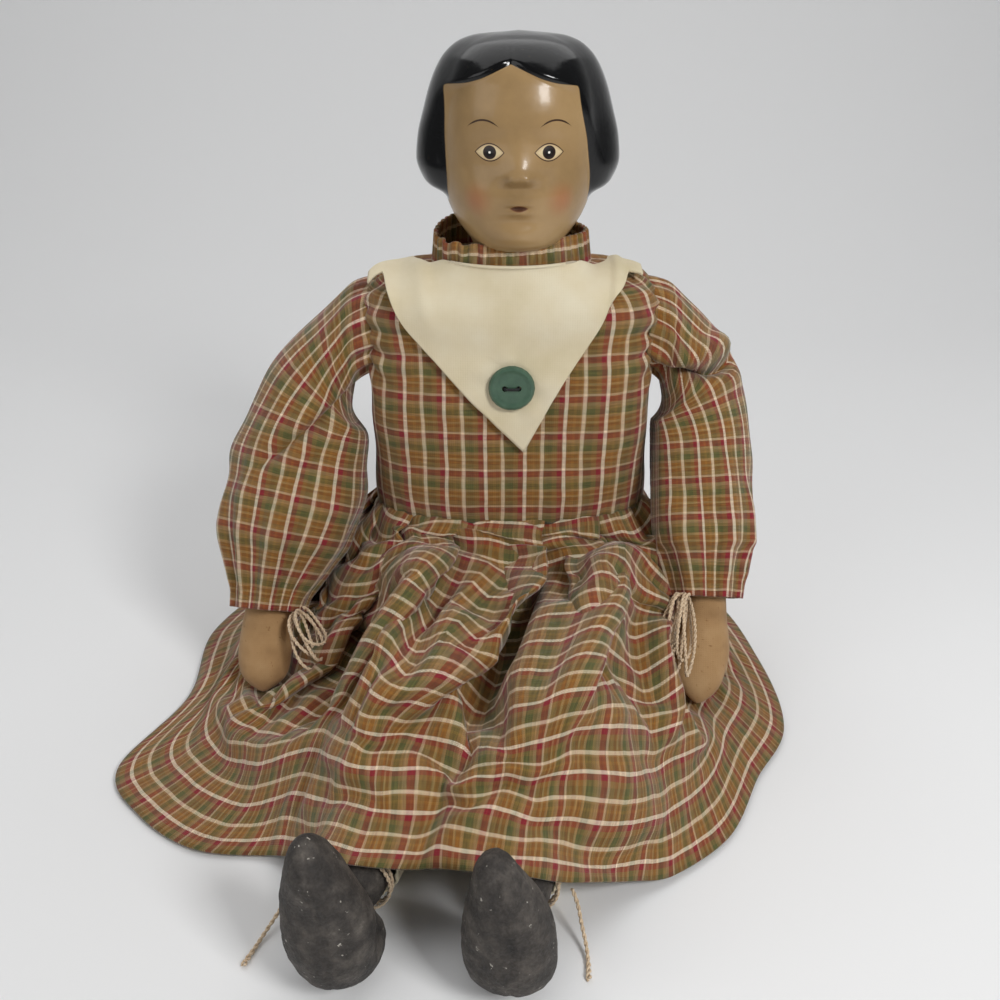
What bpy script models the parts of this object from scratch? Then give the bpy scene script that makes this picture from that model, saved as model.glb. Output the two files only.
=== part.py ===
"""A seated folk doll in a plaid dress.

A moulded papier-mache shoulder head sits on a stuffed cloth body. The doll wears a bodice with a
bib, a buttoned front, sleeves tied at the wrists with string, a gathered skirt, pantaloon legs tied
at the ankles and painted cloth boots. Arms and legs are sewn on and swing at their seams.

Metres, +Z up. The doll faces -Y and its own left side is +X. The origin is on the floor, under the
middle of the seat.
"""

import math

import bmesh
import bpy
import numpy as np
from mathutils import Matrix, Vector

MM = 0.001

# Cloth, string and the room left between pieces that touch
CLOTH = 1.2 * MM
CLEARANCE = 0.4 * MM
EASE = 1.0 * MM
STRING = 1.6 * MM

# Stuffed body
TORSO_WIDTH = 122 * MM
TORSO_DEPTH = 60 * MM
TORSO_HEIGHT = 190 * MM
WAIST_SQUARENESS = 2.6
SHOULDER_SQUARENESS = 4.0
WAIST_HEIGHT = 82 * MM
SHOULDER_DROP = 23 * MM

# Moulded head
HEAD_HEIGHT = 83 * MM
HAIR_WIDTH = 84.6 * MM
FACE_WIDTH = 63 * MM
FACE_DEPTH = 37 * MM
HAIR_DEPTH = 37.5 * MM
HEAD_FORWARD = 4 * MM
CHIN_RISE = 14 * MM
NECK_RADIUS = 15.5 * MM
HEAD_WALL = 3 * MM
PLATE = 2.5 * MM
NOSE_LENGTH = 5 * MM

# Neck band, bib and button
BAND_WIDTH = 66 * MM
BAND_DEPTH = 58 * MM
BAND_RISE = 14 * MM
BAND_DIP = 6 * MM
BAND_FORWARD = 3 * MM
BIB_LENGTH = 70 * MM
BIB_CORNERS = (-58 * MM, 54 * MM)
BIB_END = 2 * MM
BIB_TIP_ASIDE = 5 * MM
BUTTON_DIAMETER = 20 * MM
BUTTON_THICKNESS = 3 * MM
BUTTON_HOLE = 2.4 * MM
BUTTON_HOLE_SPACING = 6 * MM
BUTTON_DROP = 41 * MM
THREAD = 1.1 * MM

# Arms and sleeves
ARM_RADIUS = 11.5 * MM
ARM_ROOT_RADIUS = 7.5 * MM
WRIST_RADIUS = 10 * MM
HAND_WIDTH = 26 * MM
HAND_THICKNESS = 17 * MM
HAND_HEIGHT = 14 * MM
ARM_BOW = 15 * MM
ARMHOLE_RADIUS = 20 * MM
CUFF_FLARE = 3 * MM
ARMS = {
    "right": {"side": -1, "spread": 52 * MM, "forward": 70 * MM, "hand": 40 * MM, "sleeve": 29 * MM},
    "left": {"side": 1, "spread": 22 * MM, "forward": 78 * MM, "hand": 50 * MM, "sleeve": 23 * MM},
}

# Legs, pantaloon legs and boots
HIP_SPACING = 48 * MM
THIGH_RADIUS = 17 * MM
ANKLE_RADIUS = 12.5 * MM
LEG_LENGTH = 152 * MM
PANTALOON_EASE = 1.5 * MM
BOOT_HEIGHT = 68 * MM
BOOT_WIDTH = 31 * MM
BOOT_THICKNESS = 30 * MM
LEGS = {
    "right": {"side": -1, "swing": math.radians(13.5)},
    "left": {"side": 1, "swing": math.radians(9)},
}

# Skirt: the hem as it lies, going round from the front towards the doll's left
SKIRT_LIFT = 2.0 * MM
FOLD_HEIGHT = 13 * MM
FOLD_COUNT = 13
LAP_ROLL = 8 * MM
SIDE_PUFF = 12 * MM
SIDE_SEAM = math.radians(104)
HEM = [
    (0, -24 * MM, -181 * MM),
    (10, 2 * MM, -191 * MM),
    (22, 27 * MM, -187 * MM),
    (38, 60 * MM, -175 * MM),
    (54, 86 * MM, -149 * MM),
    (72, 104 * MM, -114 * MM),
    (90, 124 * MM, -80 * MM),
    (110, 124 * MM, -28 * MM),
    (135, 110 * MM, 32 * MM),
    (160, 62 * MM, 62 * MM),
    (180, 0 * MM, 70 * MM),
    (200, -64 * MM, 67 * MM),
    (225, -126 * MM, 46 * MM),
    (250, -154 * MM, -2 * MM),
    (270, -152 * MM, -58 * MM),
    (285, -169 * MM, -107 * MM),
    (300, -152 * MM, -134 * MM),
    (318, -124 * MM, -151 * MM),
    (332, -90 * MM, -162 * MM),
    (347, -58 * MM, -189 * MM),
]

# String ties
TIE_TURNS = 2
BOW_FOLD = 4.8 * MM
BOWS = {
    "right": {"loops": 3, "length": 30 * MM},
    "left": {"loops": 6, "length": 40 * MM},
}
ANKLE_END_LENGTH = 46 * MM

SHOULDER_HEIGHT = TORSO_HEIGHT - SHOULDER_DROP
HALF_WIDTH = TORSO_WIDTH / 2
HALF_DEPTH = TORSO_DEPTH / 2
UP = Vector((0, 0, 1))


def smoothstep(low, high, value):
    share = min(max((value - low) / (high - low), 0.0), 1.0)
    return share * share * (3 - 2 * share)


def profile(stations, values):
    """A smooth curve through the stations that never swings past their values."""
    xs = np.array(stations, float)
    ys = np.array(values, float)
    step = np.diff(xs)
    slope = np.diff(ys) / step
    tangent = np.zeros(len(xs))
    tangent[0] = slope[0]
    tangent[-1] = slope[-1]
    for i in range(1, len(xs) - 1):
        if slope[i - 1] * slope[i] > 0:
            tangent[i] = 2 * slope[i - 1] * slope[i] / (slope[i - 1] + slope[i])

    def at(x):
        i = int(np.clip(np.searchsorted(xs, x) - 1, 0, len(step) - 1))
        f = min(max((x - xs[i]) / step[i], 0.0), 1.0)
        start = (1 + 2 * f) * (1 - f) ** 2 * ys[i] + f * (1 - f) ** 2 * step[i] * tangent[i]
        end = f * f * (3 - 2 * f) * ys[i + 1] + f * f * (f - 1) * step[i] * tangent[i + 1]
        return float(start + end)

    return at


def spline_point(points, t):
    """A point on the smooth curve through a list of points, t from 0 to 1."""
    last = len(points) - 1
    x = min(max(t, 0.0), 1.0) * last
    i = min(int(x), last - 1)
    f = x - i
    p0, p1, p2, p3 = (points[min(max(k, 0), last)] for k in (i - 1, i, i + 1, i + 2))
    return 0.5 * (2 * p1 + (p2 - p0) * f + (2 * p0 - 5 * p1 + 4 * p2 - p3) * f * f
                  + (3 * p1 - p0 - 3 * p2 + p3) * f ** 3)


def route(points):
    """The smooth curve through the points as a function of its arc length share, and its length."""
    fine = [spline_point(points, k / 240) for k in range(241)]
    steps = [(b - a).length for a, b in zip(fine, fine[1:])]
    travelled = np.concatenate(([0.0], np.cumsum(steps)))
    length = float(travelled[-1])

    def at(share):
        x = np.interp(share * length, travelled, np.arange(241))
        return spline_point(points, x / 240)

    return at, length


def section(path, share, reference):
    """Centre, the direction nearest to reference, and the third direction of a tube's section."""
    centre = path(share)
    along = (path(min(share + 0.01, 1.0)) - path(max(share - 0.01, 0.0))).normalized()
    across = (reference - along * reference.dot(along)).normalized()
    return centre, across, along.cross(across)


def ring(angle, half_width, half_depth, squareness):
    """A point of a level ring, angle 0 at the front (-Y) and growing towards +X."""
    power = 2 / squareness
    s, c = math.sin(angle), math.cos(angle)
    return (half_width * math.copysign(abs(s) ** power, s),
            -half_depth * math.copysign(abs(c) ** power, c))


parts = bpy.data.collections.new("papier_mache_doll")
cutters = bpy.data.collections.new("cutters")
MATERIALS = {}


def material(name, colour, roughness):
    if name not in MATERIALS:
        made = bpy.data.materials.new(name)
        made.use_nodes = True
        shader = made.node_tree.nodes["Principled BSDF"]
        shader.inputs["Base Color"].default_value = (*colour, 1.0)
        shader.inputs["Roughness"].default_value = roughness
        shader.inputs["Metallic"].default_value = 0.0
        MATERIALS[name] = made
    return MATERIALS[name]


def muslin():
    return material("muslin", (0.55, 0.42, 0.27), 0.9)


def plaid():
    return material("plaid", (0.30, 0.24, 0.12), 0.9)


def cream_cloth():
    return material("cream_cloth", (0.78, 0.70, 0.54), 0.9)


def cotton_string():
    return material("cotton_string", (0.72, 0.60, 0.45), 0.85)


def painted_papier_mache():
    return material("painted_papier_mache", (0.42, 0.29, 0.14), 0.35)


def boot_cloth():
    return material("boot_cloth", (0.06, 0.055, 0.055), 0.8)


def teal_plastic():
    return material("teal_plastic", (0.02, 0.22, 0.16), 0.3)


def dark_thread():
    return material("dark_thread", (0.02, 0.02, 0.02), 0.8)


def add_part(name, data, finish, body):
    """Puts a mesh or curve given in world places under the empty of the body that carries it."""
    obj = bpy.data.objects.new(name, data)
    data.materials.append(finish)
    data.transform(Matrix.Translation(-body.location))
    obj.parent = body
    parts.objects.link(obj)
    return obj


def skin(name, columns, rows, place, finish, body, outward=True):
    """A grid whose points are put at place(u, v); edges and poles that meet are welded."""
    bm = bmesh.new()
    bmesh.ops.create_grid(bm, x_segments=columns, y_segments=rows, size=0.5)
    for vert in bm.verts:
        vert.co = place(vert.co.x + 0.5, vert.co.y + 0.5)
    bmesh.ops.remove_doubles(bm, verts=bm.verts, dist=1e-6)
    bmesh.ops.dissolve_degenerate(bm, edges=bm.edges, dist=1e-7)
    if all(edge.is_manifold for edge in bm.edges):
        bmesh.ops.recalc_face_normals(bm, faces=bm.faces)
    elif not outward:
        bmesh.ops.reverse_faces(bm, faces=bm.faces)
    mesh = bpy.data.meshes.new(name)
    bm.to_mesh(mesh)
    bm.free()
    mesh.shade_smooth()
    return add_part(name, mesh, finish, body)


def cloth(name, columns, rows, place, finish, body, outward=True):
    """A sheet through place(u, v) that gets its thickness on the outer side."""
    obj = skin(name, columns, rows, place, finish, body, outward)
    solidify = obj.modifiers.new("thickness", "SOLIDIFY")
    solidify.thickness = CLOTH
    solidify.offset = 1.0
    return obj


def tube(name, points, diameter, finish, body, rounds=1):
    """A string along the points, with closed ends."""
    curve = bpy.data.curves.new(name, "CURVE")
    curve.dimensions = "3D"
    curve.bevel_depth = diameter / 2
    curve.bevel_resolution = rounds
    curve.use_fill_caps = True
    spline = curve.splines.new("POLY")
    spline.points.add(len(points) - 1)
    for knot, place in zip(spline.points, points):
        knot.co = (*place, 1.0)
    return add_part(name, curve, finish, body)


def print_least_gap(name, points, diameter):
    """Prints the least gap of a wound string to itself, leaving out its own next stretch."""
    fine = [spline_point(points, k / (6 * len(points))) for k in range(6 * len(points) + 1)]
    places = np.array([tuple(p) for p in fine])
    travelled = np.concatenate(([0.0], np.cumsum(np.linalg.norm(np.diff(places, axis=0), axis=1))))
    apart = np.linalg.norm(places[:, None] - places[None], axis=2)
    apart[np.abs(travelled[:, None] - travelled[None]) < 3 * diameter] = np.inf
    print(f"{name}: least gap to itself {(apart.min() - diameter) / MM:.2f} mm")


def body_empty(name, place):
    empty = bpy.data.objects.new(name, None)
    empty.location = place
    parts.objects.link(empty)
    return empty


# Torso: a stuffed bag with a flat seat and square shoulders

BODY_COLUMNS = 28
WAISTLINE = WAIST_HEIGHT / TORSO_HEIGHT
TORSO_STATIONS = (0.0, 0.04, 0.21, 0.42, 0.63, 0.77, 0.855, 0.908, 0.944, 0.97, 0.99, 1.0)
torso_width_share = profile(
    TORSO_STATIONS, (0.86, 0.97, 1.0, 0.99, 1.0, 1.0, 0.995, 0.98, 0.955, 0.9, 0.74, 0.42))
torso_depth_share = profile(
    TORSO_STATIONS, (0.86, 1.0, 1.05, 1.0, 1.0, 0.98, 0.96, 0.93, 0.90, 0.86, 0.78, 0.56))


def torso_point(angle, share, offset=0.0):
    """A point on the torso at a share of its height, or on a layer of clothes outside it."""
    half_width = HALF_WIDTH * torso_width_share(share)
    half_depth = HALF_DEPTH * torso_depth_share(share)
    low, high = max(share - 0.01, 0.0), min(share + 0.01, 1.0)
    narrowing = HALF_WIDTH * (torso_width_share(low) - torso_width_share(high))
    outwards = Vector((TORSO_HEIGHT * (high - low), narrowing)).normalized()
    at_shoulder = smoothstep(WAISTLINE, 0.8, share) * smoothstep(1.0, 0.94, share)
    squareness = WAIST_SQUARENESS + (SHOULDER_SQUARENESS - WAIST_SQUARENESS) * at_shoulder
    x, y = ring(angle, half_width + offset * outwards.x, half_depth + offset * outwards.x, squareness)
    return Vector((x, y, TORSO_HEIGHT * share + offset * outwards.y))


def make_torso(body):
    rows = 15

    def place(u, v):
        row = round(v * rows)
        if row == 0:
            return Vector((0, 0, 0))
        if row == rows:
            return Vector((0, 0, TORSO_HEIGHT))
        share = 1 - (1 - (row - 1) / (rows - 2)) ** 1.6
        return torso_point(2 * math.pi * u, share)

    skin("torso", BODY_COLUMNS, rows, place, muslin(), body)


# Head, neck and shoulder plate: one hollow moulding that is open underneath

CHIN_HEIGHT = TORSO_HEIGHT + CHIN_RISE
HEAD_CENTRE = CHIN_HEIGHT + HEAD_HEIGHT / 2
HEAD_STATIONS = (-0.52, -0.48, -0.44, -0.39, -0.325, -0.25, -0.175, -0.075, 0.025, 0.15, 0.275,
                 0.375, 0.44, 0.48, 0.5)
hair_width_share = profile(HEAD_STATIONS, (0.37, 0.38, 0.39, 0.40, 0.43, 0.735, 0.93, 1.0, 0.98,
                                           0.917, 0.84, 0.74, 0.615, 0.42, 0.0))
hair_depth_share = profile(HEAD_STATIONS, (0.41, 0.42, 0.43, 0.45, 0.50, 0.76, 0.91, 0.99, 1.0,
                                           0.97, 0.90, 0.78, 0.64, 0.43, 0.0))
face_width_share = profile(HEAD_STATIONS, (0.49, 0.43, 0.46, 0.58, 0.73, 0.88, 0.95, 0.99, 1.0,
                                           0.985, 0.93, 0.82, 0.66, 0.40, 0.0))
face_depth_share = profile(HEAD_STATIONS, (0.42, 0.56, 0.78, 0.905, 0.968, 0.995, 0.995, 0.99, 1.0,
                                           0.985, 0.92, 0.78, 0.60, 0.35, 0.0))
# Half of the columns' angles, close together on both sides of the hair's front edge
HEAD_COLUMNS = [math.radians(a) for a in (0, 7, 16, 26, 37, 48, 56, 61, 71, 84, 97, 110, 124, 138, 152, 166, 180)]
HAIR_EDGE = math.radians(58.5)
HAIR_STEP = 2.2 * MM
HAIR_END = -0.26
HAIRLINE = 0.29
HAIRLINE_PEAK = 0.085


def hairline(angle):
    """Height share of the hair's lower edge on the forehead, highest at the parting."""
    return HAIRLINE + HAIRLINE_PEAK * (1 - smoothstep(0.0, math.radians(46), abs(angle)))


def face_relief(x, share):
    """Nose, brow hollows, cheeks, lips and chin as soft bumps on the face."""
    side = abs(x) / (FACE_WIDTH / 2)
    bridge = NOSE_LENGTH * smoothstep(0.08, -0.14, share) * smoothstep(-0.2, -0.155, share)
    relief = bridge * math.exp(-((side / 0.15) ** 2))
    relief -= 1.4 * MM * math.exp(-(((side - 0.4) / 0.24) ** 2 + ((share + 0.01) / 0.07) ** 2))
    relief += 1.2 * MM * math.exp(-(((side - 0.5) / 0.3) ** 2 + ((share + 0.2) / 0.11) ** 2))
    relief += 1.3 * MM * math.exp(-((side / 0.2) ** 2 + ((share + 0.275) / 0.028) ** 2))
    return relief + 1.5 * MM * math.exp(-((side / 0.3) ** 2 + ((share + 0.4) / 0.05) ** 2))


def head_point(angle, share):
    """A point on the outside of the head at a share of its height, 0.5 at the top."""
    turn = abs(angle)
    face_x, face_y = ring(turn, FACE_WIDTH / 2 * face_width_share(share),
                          FACE_DEPTH * face_depth_share(share), 2.3)
    bare = math.hypot(face_x, face_y)
    hair_width = HAIR_WIDTH / 2 * hair_width_share(share)
    if turn < math.pi / 2:
        swell = smoothstep(HAIR_EDGE, math.radians(92), turn)
        step = HAIR_STEP * smoothstep(HAIR_END - 0.03, HAIR_END + 0.03, share)
        full = bare + step + (hair_width - FACE_WIDTH / 2 * face_width_share(share) - step) * swell
    else:
        full = math.hypot(*ring(turn, hair_width, HAIR_DEPTH * hair_depth_share(share), 2.1))
    covered = share > hairline(angle) or turn > HAIR_EDGE
    reach = full if covered else bare
    heading = math.atan2(face_x, -face_y) if turn < math.pi / 2 else turn
    x = math.copysign(reach * math.sin(heading), angle)
    y = -reach * math.cos(heading)
    if not covered:
        y -= face_relief(x, share)
    sunk = smoothstep(-0.38, -0.52, share)
    return Vector((x, y - HEAD_FORWARD * (1 - sunk), HEAD_CENTRE + HEAD_HEIGHT * share))


def neck_point(angle, radius, height):
    return Vector((radius * math.sin(angle), -radius * math.cos(angle), height))


def make_head(body):
    outer_shares = [0.5, 0.48, 0.44, 0.375, HAIRLINE + 0.012, HAIRLINE - 0.012, 0.2, 0.12, 0.05, -0.01,
                    -0.06, -0.11, -0.155, -0.19, -0.235, -0.275, -0.32, -0.365, -0.41, -0.45, -0.49]
    neck_top = HEAD_CENTRE - 0.53 * HEAD_HEIGHT
    plate_shares = (0.994, 0.985, 0.972)
    bore = NECK_RADIUS - HEAD_WALL
    cavity_rows = 6
    angles = HEAD_COLUMNS + [-a for a in HEAD_COLUMNS[-2::-1]]
    rings = []
    for share in outer_shares:
        near_hairline = math.exp(-(((share - HAIRLINE) / 0.12) ** 2))
        rings.append([head_point(a, min(share + near_hairline * (hairline(a) - HAIRLINE), 0.5)
                                 if share < 0.5 else 0.5) for a in angles])
    rings.append([neck_point(a, NECK_RADIUS, neck_top) for a in angles])
    rings.extend([torso_point(a, s, EASE + PLATE) for a in angles] for s in plate_shares)
    rings.extend([torso_point(a, s, EASE) for a in angles] for s in reversed(plate_shares))
    rings.append([neck_point(a, bore, TORSO_HEIGHT + 2 * EASE) for a in angles])
    rings.append([neck_point(a, bore, neck_top + HEAD_WALL) for a in angles])
    cavity_height = HEAD_HEIGHT / 2 - HEAD_WALL - HAIR_STEP
    for row in range(1, cavity_rows + 1):
        tilt = math.pi * (0.2 + 0.8 * row / cavity_rows)
        wide = (FACE_WIDTH / 2 - HEAD_WALL) * math.sin(tilt)
        rings.append([neck_point(a, wide, HEAD_CENTRE - cavity_height * math.cos(tilt) * 0.9) for a in angles])

    def place(u, v):
        return rings[round(v * (len(rings) - 1))][round(u * (len(angles) - 1))]

    skin("shoulder_head", len(angles) - 1, len(rings) - 1, place, painted_papier_mache(), body)


# Bodice, bib and neck band

NECKLINE = 0.993


def bodice_offset(share):
    """The bodice lies on the torso and, above the shoulders, on the head's plate."""
    return EASE + (PLATE + EASE) * smoothstep(0.84, 0.955, share)


def cut_round_hole(obj, name, radius, depth, place, turn):
    """Cuts a round hole through a piece with a cylinder that stays as a hidden guide."""
    bpy.ops.mesh.primitive_cylinder_add(vertices=16, radius=radius, depth=depth, location=place, rotation=turn)
    cutter = bpy.context.active_object
    cutter.name = f"{name}_cutter"
    cutter.hide_render = True
    cutter.display_type = "WIRE"
    for owner in cutter.users_collection:
        owner.objects.unlink(cutter)
    cutters.objects.link(cutter)
    boolean = obj.modifiers.new(name, "BOOLEAN")
    boolean.operation = "DIFFERENCE"
    boolean.object = cutter


def make_bodice(body):
    def place(u, v):
        share = WAISTLINE + (NECKLINE - WAISTLINE) * (1 - (1 - v) ** 2.2)
        return torso_point(2 * math.pi * u, share, bodice_offset(share))

    bodice = cloth("bodice", BODY_COLUMNS, 13, place, plaid(), body)
    for name, arm in ARMS.items():
        cut_round_hole(bodice, f"{name}_armhole", ARM_ROOT_RADIUS + 2 * EASE, HALF_WIDTH,
                       (arm["side"] * HALF_WIDTH, 0, SHOULDER_HEIGHT), (0, math.pi / 2, 0))


def bib_offset(share):
    return bodice_offset(share) + CLOTH + 1.5 * EASE


def halved(low, high, is_below):
    """The place between low and high where is_below stops holding."""
    for _ in range(24):
        middle = (low + high) / 2
        if is_below(middle):
            low = middle
        else:
            high = middle
    return low


def bib_edges(across):
    """Height shares of the bib's lower edge, and of its upper one at the shoulder's ridge or the neckline."""
    def ridge(place):
        return halved(SHOULDER_HEIGHT / TORSO_HEIGHT, NECKLINE,
                      lambda share: torso_point(math.pi / 2, share, bib_offset(share)).x > abs(place))

    corner = BIB_CORNERS[across > BIB_TIP_ASIDE]
    end = BIB_END / TORSO_HEIGHT
    tip = NECKLINE - BIB_LENGTH / TORSO_HEIGHT
    rise = (across - BIB_TIP_ASIDE) / (corner - BIB_TIP_ASIDE)
    top = ridge(across)
    return min(tip + (ridge(corner) - end - tip) * rise, top - end), top


def make_bib(body):
    def place(u, v):
        across = BIB_CORNERS[0] + (BIB_CORNERS[1] - BIB_CORNERS[0]) * u
        low, top = bib_edges(across)
        share = low + (top - low) * (1 - (1 - v) ** 1.6)
        offset = bib_offset(share)
        angle = halved(0.0, math.pi / 2, lambda turn: torso_point(turn, share, offset).x < abs(across))
        return torso_point(math.copysign(angle, across), share, offset)

    cloth("bib", 30, 9, place, cream_cloth(), body)


def make_neck_band(body):
    lowest = TORSO_HEIGHT + bib_offset(NECKLINE) + CLOTH + CLEARANCE

    def place(u, v):
        angle = 2 * math.pi * u
        lean = 1 - 0.06 * v
        x, y = ring(angle, BAND_WIDTH / 2 * lean, BAND_DEPTH / 2 * lean, 2.0)
        dip = BAND_DIP * (1 + math.cos(angle)) / 2 * v
        return Vector((x, y - BAND_FORWARD, lowest + BAND_RISE * v - dip))

    cloth("neck_band", 28, 3, place, plaid(), body)


# Button and the thread that holds it to the bib

BUTTON_HEIGHT = TORSO_HEIGHT - BUTTON_DROP


def button_seat():
    """The button's middle on the bib, and the direction it faces."""
    share = BUTTON_HEIGHT / TORSO_HEIGHT
    offset = bib_offset(share) + CLOTH
    reach = BUTTON_DIAMETER / 2 / TORSO_HEIGHT
    lean = torso_point(0, share + reach, offset) - torso_point(0, share - reach, offset)
    facing = Vector((0, -lean.z, lean.y)).normalized()
    return torso_point(0, share, offset) + facing * 2 * CLEARANCE, facing


def make_button(body):
    seat, facing = button_seat()
    radius = BUTTON_DIAMETER / 2
    outline = [(0.0, 0.8), (0.66, 0.8), (0.74, 0.85), (0.84, 0.95), (0.93, 0.88), (1.0, 0.5),
               (0.93, 0.1), (0.8, 0.0), (0.0, 0.0)]
    turn = UP.rotation_difference(facing)
    bm = bmesh.new()
    verts = [bm.verts.new((r * radius, 0, h * BUTTON_THICKNESS)) for r, h in outline]
    for a, b in zip(verts, verts[1:]):
        bm.edges.new((a, b))
    mesh = bpy.data.meshes.new("button")
    bm.to_mesh(mesh)
    bm.free()
    button = add_part("button", mesh, teal_plastic(), body)
    button.location = seat
    button.rotation_euler = turn.to_euler()
    screw = button.modifiers.new("turned", "SCREW")
    screw.steps = 22
    screw.render_steps = 22
    screw.use_merge_vertices = True
    screw.merge_threshold = 1e-5
    screw.use_smooth_shade = True
    for name, side in (("right_hole", -1), ("left_hole", 1)):
        cut_round_hole(button, name, BUTTON_HOLE / 2, 4 * BUTTON_THICKNESS,
                       seat + Vector((side * BUTTON_HOLE_SPACING / 2, 0, 0)), turn.to_euler())


def make_button_thread(body):
    seat, facing = button_seat()
    half = BUTTON_HOLE_SPACING / 2
    face = 0.8 * BUTTON_THICKNESS + THREAD / 2 + CLEARANCE
    corner = THREAD / 2
    points = []
    for x, h in ((-half, 0.1 * face), (-half, face - corner), (-half + corner, face),
                 (half - corner, face), (half, face - corner), (half, 0.1 * face)):
        points.append(seat + Vector((x, 0, 0)) + facing * h)
    tube("button_thread", points, THREAD, dark_thread(), body)


# Arms: stuffed muslin with mitten hands, resting on the skirt

ARM_ROOT = HALF_WIDTH * torso_width_share(SHOULDER_HEIGHT / TORSO_HEIGHT) + CLEARANCE
ARMHOLE_PLANE = HALF_WIDTH + CLOTH + 2 * EASE


def arm_path(arm):
    """The arm's middle line: out of the shoulder, bowed at the elbow, forward to the fingertips."""
    side = arm["side"]
    drop = SHOULDER_HEIGHT - HAND_HEIGHT
    shoulder = Vector((side * ARM_ROOT, 0, SHOULDER_HEIGHT))
    points = [shoulder]
    for share, bow in ((0.0, 0.32), (0.055, 0.72), (0.2, 1.25), (0.45, 1.15), (0.75, 0.75), (1.0, 0.05)):
        aside = arm["spread"] * share + ARM_BOW * bow
        points.append(shoulder + Vector((side * aside, -arm["forward"] * share ** 1.5, -drop * share)))
    return route(points)


def cuff_share(arm, length):
    return 1 - arm["hand"] / length


def arm_sizes(arm, length):
    cuff = cuff_share(arm, length)
    palm = (1 + cuff) / 2
    stations = (0.0, 0.02, 0.26, 0.42, cuff - 0.12, cuff, palm, 0.5 + palm / 2, 0.98, 1.0)
    upper = [0.0, ARM_ROOT_RADIUS, ARM_ROOT_RADIUS, ARM_RADIUS, WRIST_RADIUS, WRIST_RADIUS]
    wide = profile(stations, upper + [HAND_WIDTH / 2 * s for s in (1.0, 0.96, 0.5, 0.0)])
    thick = profile(stations, upper + [HAND_THICKNESS / 2 * s for s in (1.0, 0.9, 0.5, 0.0)])
    return wide, thick


FRONT_TO_BACK = Vector((0, 1, 0))


def make_arm(name, arm, body):
    path, length = arm_path(arm)
    wide, thick = arm_sizes(arm, length)

    def place(u, v):
        share = (1 - math.cos(math.pi * v)) / 2
        centre, across, third = section(path, share, FRONT_TO_BACK)
        angle = 2 * math.pi * u
        return centre + third * wide(share) * math.cos(angle) + across * thick(share) * math.sin(angle)

    skin(f"{name}_arm", 14, 15, place, muslin(), body)


def tie_share(arm, length):
    return cuff_share(arm, length) - 3 * STRING / length


def make_sleeve(name, arm, body):
    """Set into the armhole, full at the elbow, lying against the body and drawn in at the wrist tie."""
    path, length = arm_path(arm)
    tie = tie_share(arm, length)
    grip = 2.4 * STRING / length
    start = (ARMHOLE_PLANE - ARM_ROOT) / length
    drawn = WRIST_RADIUS + EASE
    radius = profile((start, 0.14, 0.27, 0.46, 0.6, tie - 5 * grip, tie - grip, tie + grip, tie + 2 * grip),
                     (ARMHOLE_RADIUS, ARMHOLE_RADIUS, 0.5 * (ARMHOLE_RADIUS + arm["sleeve"]), arm["sleeve"],
                      0.98 * arm["sleeve"], 0.78 * arm["sleeve"], drawn, drawn, drawn + CUFF_FLARE))
    shares = [start + (tie - 5 * grip - start) * k / 7 for k in range(8)]
    shares += [tie - 2.5 * grip, tie - grip, tie + grip, tie + 2 * grip]
    armhole_facing = Vector((arm["side"], 0, 0))
    gathers = 8

    def place(u, v):
        share = shares[round(v * (len(shares) - 1))]
        centre, across, third = section(path, share, FRONT_TO_BACK)
        hanging = smoothstep(start, 0.36, share)
        along = armhole_facing.lerp(across.cross(third), hanging).normalized()
        across = (FRONT_TO_BACK - along * along.y).normalized()
        angle = 2 * math.pi * u
        gather = 1.2 * MM * math.sin(gathers * angle + 5 * v) * math.sin(math.pi * min(v / 0.7, 1.0)) ** 2
        spot = centre + (along.cross(across) * math.cos(angle) + across * math.sin(angle)) * (radius(share) + gather)
        inner = ARMHOLE_PLANE + CLOTH if share > start else ARMHOLE_PLANE
        spot.x = arm["side"] * max(arm["side"] * spot.x, inner)
        return spot

    cloth(f"{name}_sleeve", 20, len(shares) - 1, place, plaid(), body, outward=False)


# String ties: two turns round a gathered edge, with a bow or a loose end

def winding(path, share, reference, radius, length):
    """Two turns of string round a tube at a share of its path."""
    points = []
    pitch = (STRING + 2 * CLEARANCE) / length
    per_turn = 13
    total = TIE_TURNS * per_turn
    for k in range(total + 1):
        turn = k / per_turn
        centre, across, third = section(path, share + (turn - TIE_TURNS / 2) * pitch, reference)
        angle = 2 * math.pi * turn
        points.append(centre + (third * math.cos(angle) + across * math.sin(angle)) * radius)
    return points


def make_wrist_tie(name, arm, body):
    path, length = arm_path(arm)
    radius = WRIST_RADIUS + 2 * EASE + CLOTH + STRING / 2
    points = winding(path, tie_share(arm, length), FRONT_TO_BACK, radius, length)
    print_least_gap(f"{name}_wrist_tie", points, STRING)
    tube(f"{name}_wrist_tie", points, STRING, cotton_string(), body)


def racetrack(travelled, straight, fold):
    """Place on a long loop with round ends, as (along, across), from the distance travelled."""
    half = math.pi * fold
    travelled %= 2 * (straight + half)
    if travelled < straight:
        return fold + travelled, -fold
    travelled -= straight
    if travelled < half:
        turn = travelled / fold
        return fold + straight + fold * math.sin(turn), -fold * math.cos(turn)
    travelled -= half
    if travelled < straight:
        return fold + straight - travelled, fold
    turn = (travelled - straight) / fold
    return fold - fold * math.sin(turn), fold * math.cos(turn)


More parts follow.
